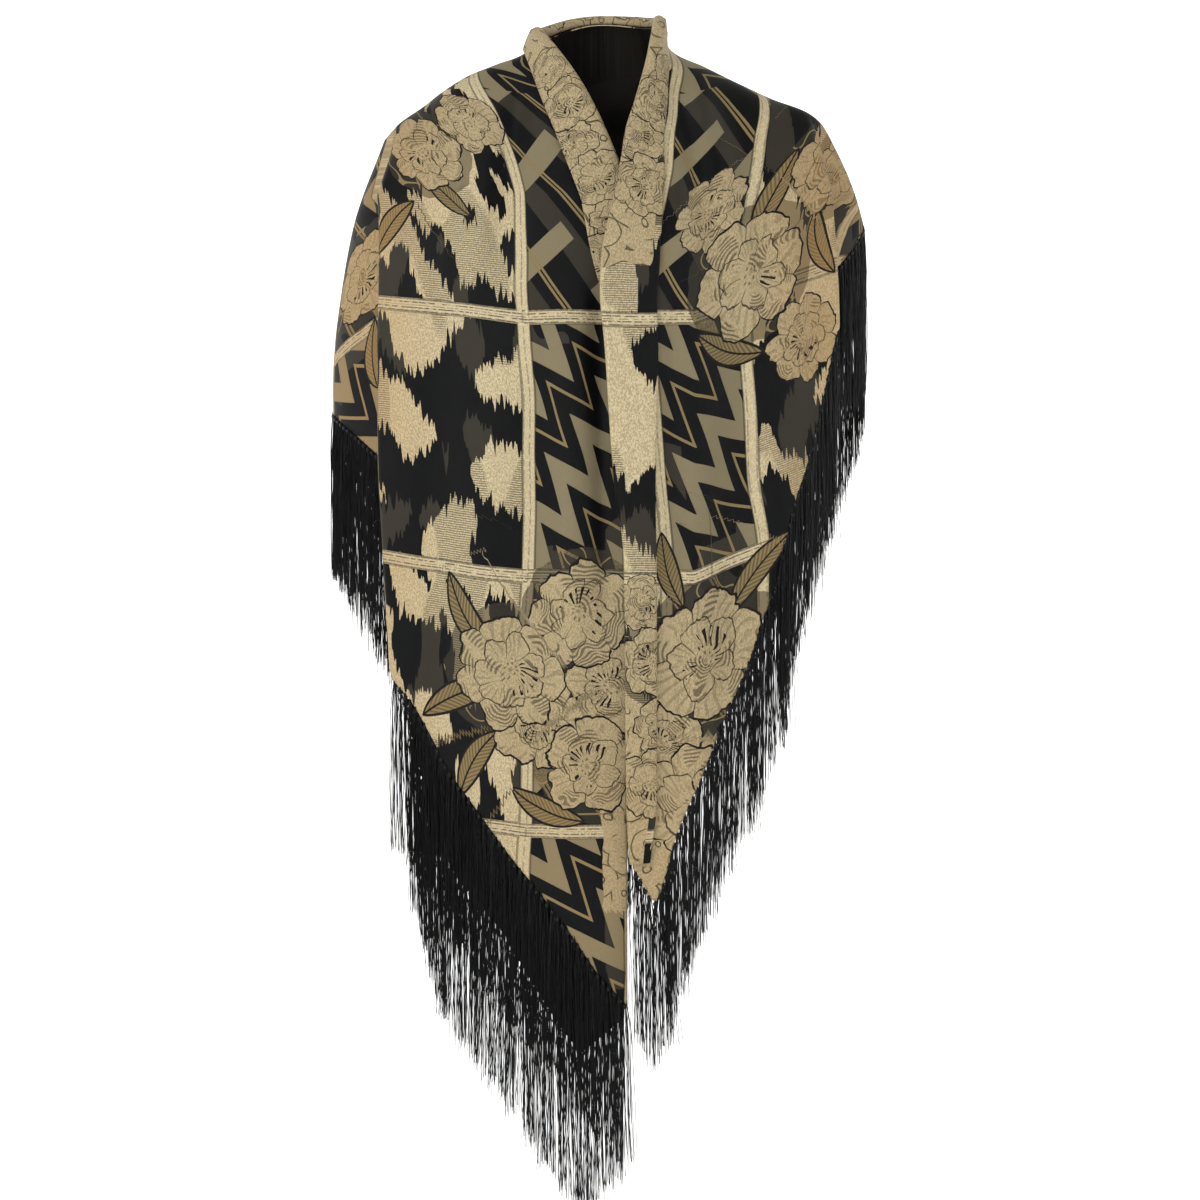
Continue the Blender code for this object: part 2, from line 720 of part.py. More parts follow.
def roll_section(frame, width, height, skin):
    """One section of the turned edge: up from the cloth's edge, over, and down on to the cloth."""
    edge, out, away = frame
    radius = height / 2
    section_points = []
    for turn in ROLL_TURN:
        lift = SEAM_GAP + radius * (1 - math.cos(turn))
        section_points.append(edge - out * (radius * math.sin(turn) + ROLL_GAP) + away * lift)
    for share in ROLL_SPREAD:
        place = edge + out * width * share
        hit = skin.ray_cast(Vector(place + away * ROLL_PROBE), Vector(-away), 2 * ROLL_PROBE)
        base = place if hit[0] is None else np.array(hit[0])
        lift = (height - ROLL_CLEAR) * (1 - share) ** ROLL_SLOPE_POWER + ROLL_CLEAR + WALL
        section_points.append(base + away * lift)
    return section_points


def make_roll(name, frames, widths, heights, skin, side):
    """A wall through the sections of a turned edge. Its two ends are cut along their own sections."""
    grid = np.array([roll_section(*section, skin) for section in zip(frames, widths, heights)])
    outward = np.cross(np.gradient(grid, axis=1), np.gradient(grid, axis=0)) * side
    for end in (0, -1):
        _, out, away = frames[end]
        path = unit(np.cross(out, away))
        outward[end] -= (outward[end] @ path)[:, None] * path
    outward /= np.linalg.norm(outward, axis=2, keepdims=True)
    wall(name, grid, outward, GOLD)


def make_rolls(faces):
    """The neck edge, turned outwards: a roll on the right front and round the nape, a band on the left front."""
    for name, side, table, under in (
        ("right_roll", RIGHT, RIGHT_ROLL, "right_front"),
        ("left_band", LEFT, LEFT_BAND, "left_front"),
    ):
        rows = faces[under][0][::-1, 0, 2]
        levels = np.concatenate([[table[0][0]], rows[rows > table[0][0] + LEAST_STEP]])
        frames = [front_edge_frame(side, z, faces[under]) for z in levels]
        sizes = read(table, levels, 1), read(table, levels, 2)
        make_roll(name, frames, *sizes, skin_tree([faces[under]]), side)
    steps = np.linspace(NAPE_START, 1, NAPE_SECTIONS)
    frames = [nape_frame(RIGHT, t, faces["right_front"]) for t in steps]
    frames += [nape_frame(LEFT, t, faces["left_front"]) for t in steps[-2::-1]]
    ends = {RIGHT: RIGHT_ROLL[-1], LEFT: LEFT_BAND[-1]}
    sizes = []
    for column, middle in ((1, NAPE_WIDTH), (2, NAPE_ROLL)):
        halves = [ends[s][column] + (middle - ends[s][column]) * ramp(steps) for s in (RIGHT, LEFT)]
        sizes.append(np.concatenate([halves[0], halves[1][-2::-1]]))
    under = [faces[name] for name in ("back", "right_front", "left_front")]
    make_roll("nape_roll", frames, *sizes, skin_tree(under), RIGHT)


def hem_line(side, places, start, stop):
    """The corners of a hem between two places c, in the middle of the wall, with the outward directions."""
    places = np.array(places, float)
    grid, outward = stretch(side, places)
    c = np.concatenate([[start], places[(places > start) & (places < stop)], [stop]])
    line = [np.interp(c, places, grid[-1, :, k] - outward[-1, :, k] * WALL / 2) for k in range(3)]
    away = [np.interp(c, places, outward[-1, :, k]) for k in range(3)]
    return np.stack(line, axis=1), np.stack(away, axis=1)


def under_hem_line():
    out, low, _ = np.array(UNDER_LAYER).T
    place = under_place(out, low, np.ones(len(out)))
    return place + (0, WALL / 2, 0), np.tile((0.0, -1.0, 0.0), (len(out), 1))


def strip_cells(corners, pitch, widths):
    """Where a strip is divided, with True where a strand's cell starts. No strand lies across a corner of the hem."""
    cells = []
    for k, width in enumerate(widths):
        middle = (k + 0.5) * pitch
        corner = corners[np.argmin(np.abs(corners - middle))]
        if abs(middle - corner) < width / 2:
            middle = corner + math.copysign(width / 2, middle - corner)
        cells += [(middle - width / 2, True), (middle + width / 2, False)]
    edges = np.array([cell[0] for cell in cells])
    for corner in corners:
        if edges[0] < corner < edges[-1] and np.min(np.abs(edges - corner)) > SEAM_GAP:
            cells.append((corner, False))
    return sorted(cells)


def make_fringe(name, line, outward, strands):
    """A narrow strip just below a hem, with strands that hang from it."""
    steps = np.diff(line, axis=0)
    slopes = np.abs(steps[:, 2]) / np.hypot(steps[:, 0], steps[:, 1])
    lengths = np.concatenate([[0], np.cumsum(np.linalg.norm(steps * (1, 1, STEEP_WEIGHT), axis=1))])
    pitch = lengths[-1] / strands
    middle_slopes = np.interp((np.arange(strands) + 0.5) * pitch, (lengths[1:] + lengths[:-1]) / 2, slopes)
    widths = STRAND_WIDTH * np.hypot(1, STEEP_WEIGHT * np.minimum(middle_slopes, STEEPEST))
    cells = strip_cells(lengths, pitch, np.minimum(widths, pitch * WIDEST_SHARE))
    stations = np.array([cell[0] for cell in cells])

    def at(values):
        return np.stack([np.interp(stations, lengths, values[:, k]) for k in range(3)], axis=1)

    away = at(outward) * (1, 1, 0)
    away /= np.linalg.norm(away, axis=1, keepdims=True)
    before = slopes[np.clip(np.searchsorted(lengths, stations - 1e-6) - 1, 0, len(slopes) - 1)]
    after = slopes[np.clip(np.searchsorted(lengths, stations + 1e-6) - 1, 0, len(slopes) - 1)]
    slant = np.hypot(1, np.maximum(before, after))[:, None]
    ridge = at(line) - (0, 0, 1) * slant * SEAM_GAP * STRIP_DROP
    low = ridge - (0, 0, STRIP_HEIGHT)
    half = away * STRIP_DEPTH / 2
    points = list(np.stack([ridge, low + half, low - half], axis=1).reshape(-1, 3))
    faces = [(0, 1, 2), (len(points) - 3, len(points) - 1, len(points) - 2)]
    for i, (_, has_strand) in enumerate(cells[:-1]):
        a, b = 3 * i, 3 * i + 3
        faces += [(a, b, b + 1, a + 1), (b, a, a + 2, b + 2)]
        if not has_strand:
            faces.append((a + 1, b + 1, b + 2, a + 2))
            continue
        ring = [a + 1, b + 1, b + 2, a + 2]
        corners = np.array([points[k] for k in ring])
        centre = corners.mean(axis=0)
        sway = STRAND_SWAY * math.sin(SWAY_STEP * i) * np.array(STRAND_SIDE_SWAY)
        length = FRINGE_LENGTH * (1 + STRAND_UNEVEN * math.sin(UNEVEN_STEP * i)) - STRIP_HEIGHT
        for share, size in STRAND_RINGS:
            flat = (corners - centre) * (size, size, 0) + centre + sway * share - (0, 0, length * share)
            below = [len(points) + k for k in range(4)]
            points += list(flat)
            for k in range(4):
                n = (k + 1) % 4
                faces.append((ring[k], ring[n], below[n], below[k]))
            ring = below
        faces.append(tuple(ring))
    make_object(name, points, faces, BLACK, roughness=0.5)


def make_fringes():
    for name, (side, places, start, stop, strands) in FRINGES.items():
        make_fringe(name, *hem_line(side, places[side], start, stop), strands)
    make_fringe("fringe_under", *under_hem_line(), UNDER_STRANDS)


def main():
    for obj in list(bpy.data.objects):
        bpy.data.objects.remove(obj)
    faces = make_panels()
    make_under_layer()
    make_rolls(faces)
    make_fringes()


main()
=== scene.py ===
"""Looks of a jacquard shawl as it is worn: fine cloth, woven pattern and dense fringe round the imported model.

Metres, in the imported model's own frame: X to the wearer's left, -Y to the front, Z up.
"""

import math

import bpy
import numpy as np
from mathutils import Euler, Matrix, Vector
from mathutils.bvhtree import BVHTree


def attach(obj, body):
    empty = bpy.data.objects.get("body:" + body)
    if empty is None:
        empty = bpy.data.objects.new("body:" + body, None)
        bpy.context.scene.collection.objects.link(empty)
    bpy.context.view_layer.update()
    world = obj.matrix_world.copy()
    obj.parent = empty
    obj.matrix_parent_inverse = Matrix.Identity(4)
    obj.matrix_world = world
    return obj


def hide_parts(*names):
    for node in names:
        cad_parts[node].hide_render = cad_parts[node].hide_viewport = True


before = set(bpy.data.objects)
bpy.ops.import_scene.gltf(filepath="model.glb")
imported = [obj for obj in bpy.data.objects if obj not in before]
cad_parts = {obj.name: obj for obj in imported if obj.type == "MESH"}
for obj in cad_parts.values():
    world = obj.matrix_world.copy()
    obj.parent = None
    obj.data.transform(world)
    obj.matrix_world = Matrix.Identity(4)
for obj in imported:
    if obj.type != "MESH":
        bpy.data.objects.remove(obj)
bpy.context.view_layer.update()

RIGHT, LEFT = -1, 1
WALL = 0.0014

# ---------------------------------------------------------------- the cloth's surface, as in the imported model
RIDGE = {
    RIGHT: [
        (0.059, 0.024), (0.078, 0.008), (0.103, -0.001), (0.129, -0.011), (0.152, -0.025), (0.173, -0.041),
        (0.196, -0.057), (0.21, -0.073),
    ],
    LEFT: [
        (0.05, 0.036), (0.066, 0.011), (0.098, -0.003), (0.129, -0.018), (0.162, -0.033), (0.197, -0.046),
        (0.212, -0.058), (0.221, -0.073),
    ],
}
NAPE_Y = 0.070
NAPE_Z = 0.046
NECK_CORNER = 3.62
ARM_LINE = {
    RIGHT: [
        (-0.073, 0.21), (-0.096, 0.219), (-0.123, 0.23), (-0.153, 0.24), (-0.196, 0.249), (-0.236, 0.255),
        (-0.269, 0.259), (-0.319, 0.262), (-0.4, 0.262),
    ],
    LEFT: [
        (-0.073, 0.221), (-0.09, 0.23), (-0.111, 0.24), (-0.14, 0.25), (-0.168, 0.256), (-0.197, 0.258),
        (-0.3, 0.258), (-0.4, 0.256),
    ],
}
INNER_EDGE = {
    RIGHT: [
        (0.024, 0.059), (-0.036, 0.021), (-0.076, 0.002), (-0.119, -0.015), (-0.134, -0.019), (-0.2, -0.022),
        (-0.5, -0.023), (-0.9, -0.024),
    ],
    LEFT: [
        (0.036, 0.05), (0.001, 0.046), (-0.052, 0.034), (-0.076, 0.027), (-0.105, 0.023), (-0.138, 0.016),
        (-0.196, 0.004), (-0.224, 0.003), (-0.271, 0.007), (-0.397, 0.015), (-0.469, 0.024), (-0.693, 0.026),
        (-0.79, 0.031),
    ],
}
OUTER_FOLD = {
    RIGHT: [
        (-0.05, 0.196), (-0.136, 0.208), (-0.366, 0.208), (-0.475, 0.202), (-0.59, 0.198), (-0.9, 0.197),
    ],
    LEFT: [
        (-0.047, 0.195), (-0.075, 0.206), (-0.114, 0.212), (-0.172, 0.218), (-0.26, 0.221), (-0.9, 0.221),
    ],
}
PLEAT_DEPTH = {
    RIGHT: [
        (-0.165, 0.003), (-0.25, 0.03), (-0.36, 0.068), (-0.6, 0.072),
    ],
    LEFT: [
        (-0.165, 0.003), (-0.2, 0.008), (-0.24, 0.014), (-0.6, 0.018),
    ],
}
PLEAT_TOP = -0.088
PLEAT_GROWS_OVER = 0.085
PLEAT_TURN = 0.014
LEAST_TURN = 0.02
LEAST_RUN = 0.006
RUN_SHARE = 0.35
ARM_START = 2.35
ARM_STRETCH = 0.65
ARM_REACH = 0.9
RIDGE_SHARES = (0, 0.80, 0.93, 1, 0)
YOKE_EDGE_POWER = 1.5
YOKE_ARM_FADE = 0.7
FOLD_DROP = 0.05
FRONT_FOLDS_FADE = 0.4
BACK_FOLDS_START = 3.05
SLOPE_STEP = 0.002
EDGE_STEP = 0.004
CHEST = [
    (-0.076, -0.086, -0.04), (-0.13, -0.117, -0.062), (-0.18, -0.136, -0.078), (-0.24, -0.147, -0.088),
    (-0.32, -0.15, -0.093), (-0.5, -0.148, -0.096), (-0.72, -0.142, -0.1), (-0.95, -0.136, -0.104),
]
CHEST_WIDTH = 0.210
CHEST_POWER = 2.5
BACK = [
    (-0.13, 0.106), (-0.2, 0.116), (-0.3, 0.112), (-0.4, 0.104), (-0.55, 0.108), (-0.7, 0.112), (-0.85, 0.108),
]
BACK_ROUND = 2.35
YOKE_Z = -0.130
YOKE_POWER_Y = 0.62
YOKE_POWER_OUT = 0.9
OVERLAP_LIFT = [(-0.050, 0.000), (-0.130, 0.018), (-0.180, 0.020), (-0.270, 0.018), (-0.340, 0.012), (-0.800, 0.011)]
OVERLAP_OUT = 0.066
OVERLAP_FADE = 0.050
FRONT_HEM = {
    RIGHT: [
        (-0.024, -0.89), (0.005, -0.857), (0.026, -0.826), (0.059, -0.781), (0.081, -0.754), (0.105, -0.722),
        (0.124, -0.695), (0.142, -0.671), (0.181, -0.604), (0.198, -0.585), (0.23, -0.55),
    ],
    LEFT: [
        (0.026, -0.752), (0.036, -0.768), (0.049, -0.788), (0.07, -0.724), (0.096, -0.663), (0.117, -0.612),
        (0.136, -0.57), (0.15, -0.528), (0.164, -0.49), (0.178, -0.42), (0.192, -0.378), (0.207, -0.32),
        (0.221, -0.258), (0.26, -0.15),
    ],
}
REAR_HEM = {
    RIGHT: [
        (1.0, -0.585), (1.5, -0.5), (2.0, -0.43), (2.4, -0.38), (3.0, -0.335), (3.2, -0.372), (3.4, -0.436),
        (3.6, -0.54), (3.8, -0.69), (3.93, -0.8), (4.0, -0.73),
    ],
    LEFT: [
        (1.0, -0.258), (1.5, -0.236), (2.0, -0.218), (2.4, -0.204), (3.0, -0.155), (3.1, -0.195), (3.2, -0.235),
        (3.4, -0.315), (3.6, -0.42), (3.8, -0.553), (4.0, -0.73),
    ],
}
FRONT_FOLDS = {
    RIGHT: [
        ((0.074, 0.0), (0.093, -0.185), 0.013, 0.009), ((0.112, -0.02), (0.122, -0.24), 0.016, -0.005),
        ((0.14, -0.04), (0.152, -0.32), 0.018, 0.005), ((0.003, -0.225), (-0.006, -0.52), 0.01, 0.007),
        ((0.03, -0.26), (0.026, -0.72), 0.018, -0.005), ((0.06, -0.3), (0.055, -0.76), 0.017, 0.005),
        ((0.11, -0.36), (0.104, -0.72), 0.022, -0.005), ((0.158, -0.32), (0.15, -0.66), 0.02, 0.006),
    ],
    LEFT: [
        ((0.064, 0.0), (0.102, -0.18), 0.013, 0.009), ((0.094, -0.02), (0.13, -0.22), 0.016, -0.005),
        ((0.128, -0.03), (0.165, -0.26), 0.018, 0.006), ((0.066, -0.2), (0.064, -0.7), 0.011, 0.006),
        ((0.096, -0.26), (0.09, -0.64), 0.018, -0.005), ((0.13, -0.26), (0.122, -0.58), 0.018, 0.006),
        ((0.168, -0.14), (0.166, -0.46), 0.018, -0.005), ((0.2, -0.12), (0.198, -0.33), 0.014, 0.005),
    ],
}
BACK_FOLDS = [
    ((0.17, -0.12), (0.12, -0.54), 0.024, 0.01), ((0.13, -0.08), (0.08, -0.64), 0.022, -0.007),
    ((0.09, -0.06), (0.038, -0.7), 0.022, 0.009), ((0.04, -0.1), (-0.004, -0.74), 0.022, -0.007),
    ((-0.01, -0.16), (-0.04, -0.76), 0.02, 0.008), ((-0.06, -0.08), (-0.08, -0.7), 0.02, -0.007),
    ((-0.11, -0.06), (-0.12, -0.62), 0.022, 0.009), ((-0.16, -0.08), (-0.16, -0.52), 0.022, -0.007),
    ((-0.2, -0.14), (-0.2, -0.44), 0.018, 0.007),
]
FOLD_FADE = 0.070
UNDER_LAYER = [
    (0.185, -0.638, -0.603), (0.163, -0.722, -0.607), (0.141, -0.769, -0.61), (0.118, -0.797, -0.615),
    (0.094, -0.824, -0.63), (0.082, -0.845, -0.64), (0.061, -0.88, -0.66), (0.038, -0.915, -0.7),
    (0.02, -0.938, -0.73), (0.0, -0.921, -0.75), (-0.021, -0.904, -0.77),
]
UNDER_NEAR = 0.0033
UNDER_FAR = 0.0110
RIGHT_ROLL = [
    (-0.271, 0.01, 0.0055), (-0.227, 0.022, 0.0065), (-0.177, 0.034, 0.0075), (-0.11, 0.04, 0.01),
    (-0.04, 0.036, 0.012), (0.024, 0.02, 0.012),
]
LEFT_BAND = [
    (-0.752, 0.016, 0.005), (-0.69, 0.025, 0.006), (-0.469, 0.026, 0.007), (-0.397, 0.034, 0.007),
    (-0.271, 0.044, 0.009), (-0.196, 0.048, 0.01), (-0.138, 0.04, 0.011), (-0.052, 0.027, 0.011),
    (0.036, 0.016, 0.012),
]
NAPE_WIDTH = 0.044
NAPE_ROLL = 0.013

# ---------------------------------------------------------------- the woven pattern, on the flat cloth
ROW_PITCH = 0.2390
FIRST_ROW_Z = -0.246
COLUMN_PITCH = 0.26
ZIGZAG_WIDTH = 0.100
BAR_HALF = 0.0066
ZIGZAG_STROKES = ((0.0442, 0.0226), (0.0179, 0.0583))
RIB_PITCH = 0.0021
COAT_TEETH = 0.048
LARGE_COAT, SMALL_COAT = 0.500, 0.495
FIRST_ROW_BAR = 0.12         # above this, on the shoulders, no row bar shows


def smooth(xs, ys, at):
    """The curve through the points (xs, ys), which never overshoots them, at the places at."""
    xs, ys = np.asarray(xs, float), np.asarray(ys, float)
    if xs[0] > xs[-1]:
        xs, ys = xs[::-1], ys[::-1]
    steps = np.diff(xs)
    slopes = np.diff(ys) / steps
    tangents = np.zeros_like(ys)
    same = slopes[:-1] * slopes[1:] > 0
    tangents[1:-1][same] = 2 * slopes[:-1][same] * slopes[1:][same] / (slopes[:-1] + slopes[1:])[same]
    tangents[0], tangents[-1] = slopes[0], slopes[-1]
    at = np.clip(at, xs[0], xs[-1])
    i = np.clip(np.searchsorted(xs, at) - 1, 0, len(steps) - 1)
    t = (at - xs[i]) / steps[i]
    start = (2 * t**3 - 3 * t**2 + 1) * ys[i] + (t**3 - 2 * t**2 + t) * steps[i] * tangents[i]
    end = (3 * t**2 - 2 * t**3) * ys[i + 1] + (t**3 - t**2) * steps[i] * tangents[i + 1]
    return start + end


def read(table, at, column=1):
    rows = np.array(table)
    return smooth(rows[:, 0], rows[:, column], at)


def ramp(value):
    value = np.clip(value, 0, 1)
    return value * value * (3 - 2 * value)


def fold_depth(table, out, z):
    total = np.zeros(np.broadcast(out, z).shape)
    for (top_out, top_z), (low_out, low_z), half_width, depth in table:
        line = np.interp(z, (low_z, top_z), (low_out, top_out))
        ends = ramp((top_z + FOLD_FADE / 2 - z) / FOLD_FADE) * ramp((z - low_z + FOLD_FADE / 2) / FOLD_FADE)
        total = total + depth * ends * np.exp(-(((out - line) / half_width) ** 2))
    return total


def front_y(side, out, z):
    middle, edge = read(CHEST, z, 1), read(CHEST, z, 2)
    y = middle + (edge - middle) * (np.abs(out) / CHEST_WIDTH) ** CHEST_POWER
    if side == LEFT:
        y = y - read(OVERLAP_LIFT, z) * ramp((OVERLAP_OUT + OVERLAP_FADE - out) / OVERLAP_FADE)
    return y


def beside_front(side, out, z, behind):
    ahead, before = front_y(side, out + SLOPE_STEP, z), front_y(side, out - SLOPE_STEP, z)
    slope = (ahead - before) / (2 * SLOPE_STEP)
    length = np.sqrt(1 + slope**2)
    place = np.stack([out - behind * slope / length, front_y(side, out, z) + behind / length])
    return place, np.stack([1 / length, slope / length])


def pleat_path(side, c, z):
    angle = math.pi * ramp((PLEAT_TOP - z) / PLEAT_GROWS_OVER) + LEAST_TURN
    depth = read(PLEAT_DEPTH[side], z)
    radius = PLEAT_TURN / angle
    first, run, second = (np.clip(3 * (c - 1) - k, 0, 1) for k in range(3))
    along = radius * np.sin(angle * first) + depth * run * np.cos(angle)
    along = along + radius * (np.sin(angle) - np.sin(angle * (1 - second)))
    behind = radius * (1 - np.cos(angle * first)) + depth * run * np.sin(angle)
    behind = behind + radius * (np.cos(angle * (1 - second)) - np.cos(angle))
    return along, behind


def section(side, c, z):
    fold = read(OUTER_FOLD[side], z)
    inner = read(INNER_EDGE[side], z)
    along, behind = pleat_path(side, np.clip(c, 1, 2), z)
    out = inner + (fold - inner) * np.clip(c, 0, 1) + along
    layer_run = np.maximum(fold - out, LEAST_RUN) * np.clip((c - 2) / RUN_SHARE, 0, 1) * (c > 2)
    place, tangent = beside_front(side, out + layer_run, z, behind)
    arm = read(ARM_LINE[side], z)
    t = np.clip((c - ARM_START) / ARM_STRETCH, 0, 1)
    reach = ARM_REACH * np.hypot(arm - place[0], place[1])
    start, end = 2 * t**3 - 3 * t**2 + 1, 3 * t**2 - 2 * t**3
    leave, arrive = t**3 - 2 * t**2 + t, t**3 - t**2
    round_arm = np.stack([
        start * place[0] + leave * reach * tangent[0] + end * arm,
        start * place[1] + leave * reach * tangent[1] + arrive * reach,
    ])
    turn = np.clip(c - 3, 0, 1) * math.pi / 2
    back = np.stack([
        arm * np.abs(np.cos(turn)) ** (2 / BACK_ROUND),
        read(BACK, z) * np.sin(turn) ** (2 / BACK_ROUND),
    ])
    return np.where(c <= ARM_START, place, np.where(c <= 3, round_arm, back))


def top_line(side, c):
    ridge = np.array(RIDGE[side])
    lengths = np.concatenate([[0], np.cumsum(np.hypot(*np.diff(ridge, axis=0).T))])
    share = np.interp(c, (0, 1, 2, 3, NECK_CORNER), RIDGE_SHARES) * lengths[-1]
    on_ridge = np.stack([smooth(lengths, ridge[:, 0], share), 0 * share, smooth(lengths, ridge[:, 1], share)])
    turn = np.clip((c - NECK_CORNER) / (4 - NECK_CORNER), 0, 1) * math.pi / 2
    corner_out, corner_z = ridge[0]
    on_neck = np.stack([
        corner_out * np.cos(turn),
        NAPE_Y * np.sin(turn),
        corner_z + (NAPE_Z - corner_z) * np.sin(turn) ** 2,
    ])
    return np.where(c > NECK_CORNER, on_neck, on_ridge)


def yoke(side, c, z):
    top = top_line(side, c)
    foot = section(side, c, np.full(np.shape(c), YOKE_Z))
    share = np.clip((top[2] - z) / (top[2] - YOKE_Z), 0, 1)
    y = top[1] + (foot[1] - top[1]) * share**YOKE_POWER_Y
    out = top[0] + (foot[0] - top[0]) * share**YOKE_POWER_OUT
    near_edge = np.clip(1 - c, 0, 1) ** YOKE_EDGE_POWER
    edge = top_line(side, np.zeros(1))[:, 0]
    edge_foot = read(INNER_EDGE[side], YOKE_Z)
    edge_share = np.clip((edge[2] - z) / (edge[2] - YOKE_Z), 0, 1)
    plain_edge = edge[0] + (edge_foot - edge[0]) * edge_share**YOKE_POWER_OUT
    out = out + near_edge * (read(INNER_EDGE[side], z) - plain_edge)
    arm_top = top_line(side, np.full(1, 3.0))[:, 0]
    arm_share = np.clip((arm_top[2] - z) / (arm_top[2] - YOKE_Z), 0, 1)
    plain_arm = arm_top[0] + (read(ARM_LINE[side], YOKE_Z) - arm_top[0]) * arm_share**YOKE_POWER_OUT
    near_arm = np.clip(1 - np.abs(c - 3) / YOKE_ARM_FADE, 0, 1) * (z < arm_top[2])
    return np.stack([out + near_arm * (read(ARM_LINE[side], z) - plain_arm), y])


def point(side, c, z):
    c, z = np.broadcast_arrays(np.asarray(c, float), np.asarray(z, float))
    top_z = top_line(side, c)[2]
    z = np.minimum(z, top_z)
    out, y = np.where(z < YOKE_Z, section(side, c, np.minimum(z, YOKE_Z)), yoke(side, c, z))
    settle = ramp((top_z - z) / FOLD_DROP)
    front = np.clip((2 - c) / FRONT_FOLDS_FADE, 0, 1)
    y = y + front * settle * fold_depth(FRONT_FOLDS[side], out, z)
    y = y - ramp(c - BACK_FOLDS_START) * settle * fold_depth(BACK_FOLDS, side * out, z)
    return np.stack([side * out, y, z], axis=-1)


def hem_height(side, c):
    c = np.asarray(c, float)
    z = np.where(c <= 1, -0.5, read(REAR_HEM[side], c))
    for _ in range(30):
        on_front = read(FRONT_HEM[side], side * point(side, c, z)[..., 0])
        z = np.where(c <= 1, (z + on_front) / 2, z)
    return z


def fall(side, c, rows, power=1.25):
    top, low = top_line(side, c)[2], hem_height(side, c)
    return point(side, c[None, :], top + (low - top) * np.linspace(0, 1, rows)[:, None] ** power)


def unit(v):
    return v / np.linalg.norm(v, axis=-1, keepdims=True)


def grid_outward(side, c, grid):
    """The outward direction at each point of a grid of falls."""
    rows = len(grid)
    across = fall(side, np.minimum(c + EDGE_STEP, 4), rows) - fall(side, np.maximum(c - EDGE_STEP, 0), rows)
    across[:, c >= 4] = (-side, 0, 0)
    outward = np.cross(np.gradient(grid, axis=0), across) * side
    ridge = (top_line(side, np.minimum(c + EDGE_STEP, 4)) - top_line(side, c)).T * (side, 1, 1)
    ridge *= np.sign(ridge[:, :1])
    upright = np.stack([-ridge[:, 2], 0 * ridge[:, 1], ridge[:, 0]], axis=-1)
    on_ridge = c <= NECK_CORNER
    outward[0, on_ridge] = upright[on_ridge]
    outward[:, c == 3, 1] = 0
    return unit(outward)


# ---------------------------------------------------------------- flat coordinates: u across the cloth, v along it
LEVELS = np.linspace(0.06, -1.0, 180)
FRONT_STEPS = np.concatenate([np.linspace(0, 1, 60), np.linspace(1, 2, 61)[1:], np.linspace(2, 3, 50)[1:]])
BACK_STEPS = np.linspace(4, 3, 110)
ROW_TILT = {RIGHT: (0.11, 0.070, 0.208), LEFT: (0.38, 0.085, 0.230)}
INNER_OFFSET = {RIGHT: 0.257, LEFT: -0.137}
ARM_OFFSET = 0.255
ARM_SLOPE = 0.50
BACK_OFFSET = 0.030
BACK_BLEND = 0.35


def arc_table(side, steps):
    places = np.array([point(side, steps, z) for z in LEVELS])
    lengths = np.linalg.norm(np.diff(places, axis=1), axis=2)
    return np.concatenate([np.zeros((len(LEVELS), 1)), np.cumsum(lengths, axis=1)], axis=1)


def bilinear(table, rows, columns):
    r = np.clip(rows, 0, table.shape[0] - 1.001)
    k = np.clip(columns, 0, table.shape[1] - 1.001)
    i, j = r.astype(int), k.astype(int)
    a, b = r - i, k - j
    top = table[i, j] * (1 - b) + table[i, j + 1] * b
    low = table[i + 1, j] * (1 - b) + table[i + 1, j + 1] * b
    return top * (1 - a) + low * a


FRONT_ARC, BACK_ARC, FALL_ARC = {}, {}, {}
for _side in (RIGHT, LEFT):
    FRONT_ARC[_side] = arc_table(_side, FRONT_STEPS)
    BACK_ARC[_side] = arc_table(_side, BACK_STEPS)
    _column = point(_side, np.full(len(LEVELS), 0.45), LEVELS)
    _steps = np.linalg.norm(np.diff(_column, axis=0), axis=1)
    FALL_ARC[_side] = np.concatenate([[0], np.cumsum(_steps)])


def flat_coordinates(side, c, points):
    """u and v in metres on the flat cloth for points of the surface at the places c."""
    z = points[..., 2]
    c = np.broadcast_to(c, z.shape)
    level = np.interp(-z, -LEVELS, np.arange(len(LEVELS)))

    def on_front(place):
        return bilinear(FRONT_ARC[side], level, np.interp(place, FRONT_STEPS, np.arange(len(FRONT_STEPS))))

    def on_back(place):
        return bilinear(BACK_ARC[side], level, np.interp(-place, -BACK_STEPS, np.arange(len(BACK_STEPS))))

    def length_down(height):
        above = np.interp(-height, -LEVELS, FALL_ARC[side]) - np.interp(-FIRST_ROW_Z, -LEVELS, FALL_ARC[side])
        return ROW_PITCH + np.where(height < FIRST_ROW_Z, FIRST_ROW_Z - height, above)

    across = on_front(np.minimum(c, 3))
    beyond = on_back(np.full(z.shape, 3.0)) - on_back(np.maximum(c, 3))
    slope, start, stop = ROW_TILT[side]
    height = z - slope * (np.clip(side * points[..., 0], start, stop) - start)
    u = INNER_OFFSET[side] + side * (across + beyond)
    if side == RIGHT:
        round_arm = np.maximum(across - on_front(np.full(z.shape, ARM_START)), 0) + beyond
        on_arm = c > 1.75
        u = np.where(on_arm, ARM_OFFSET - round_arm, u)
        height = np.where(on_arm, z + ARM_SLOPE * np.minimum(round_arm, 0.12) - 0.005, height)
    share = ramp((c - 3) / BACK_BLEND)
    u_back = BACK_OFFSET + side * on_back(np.maximum(c, 3))
    return u + (u_back - u) * share, length_down(height + (z - height) * share)


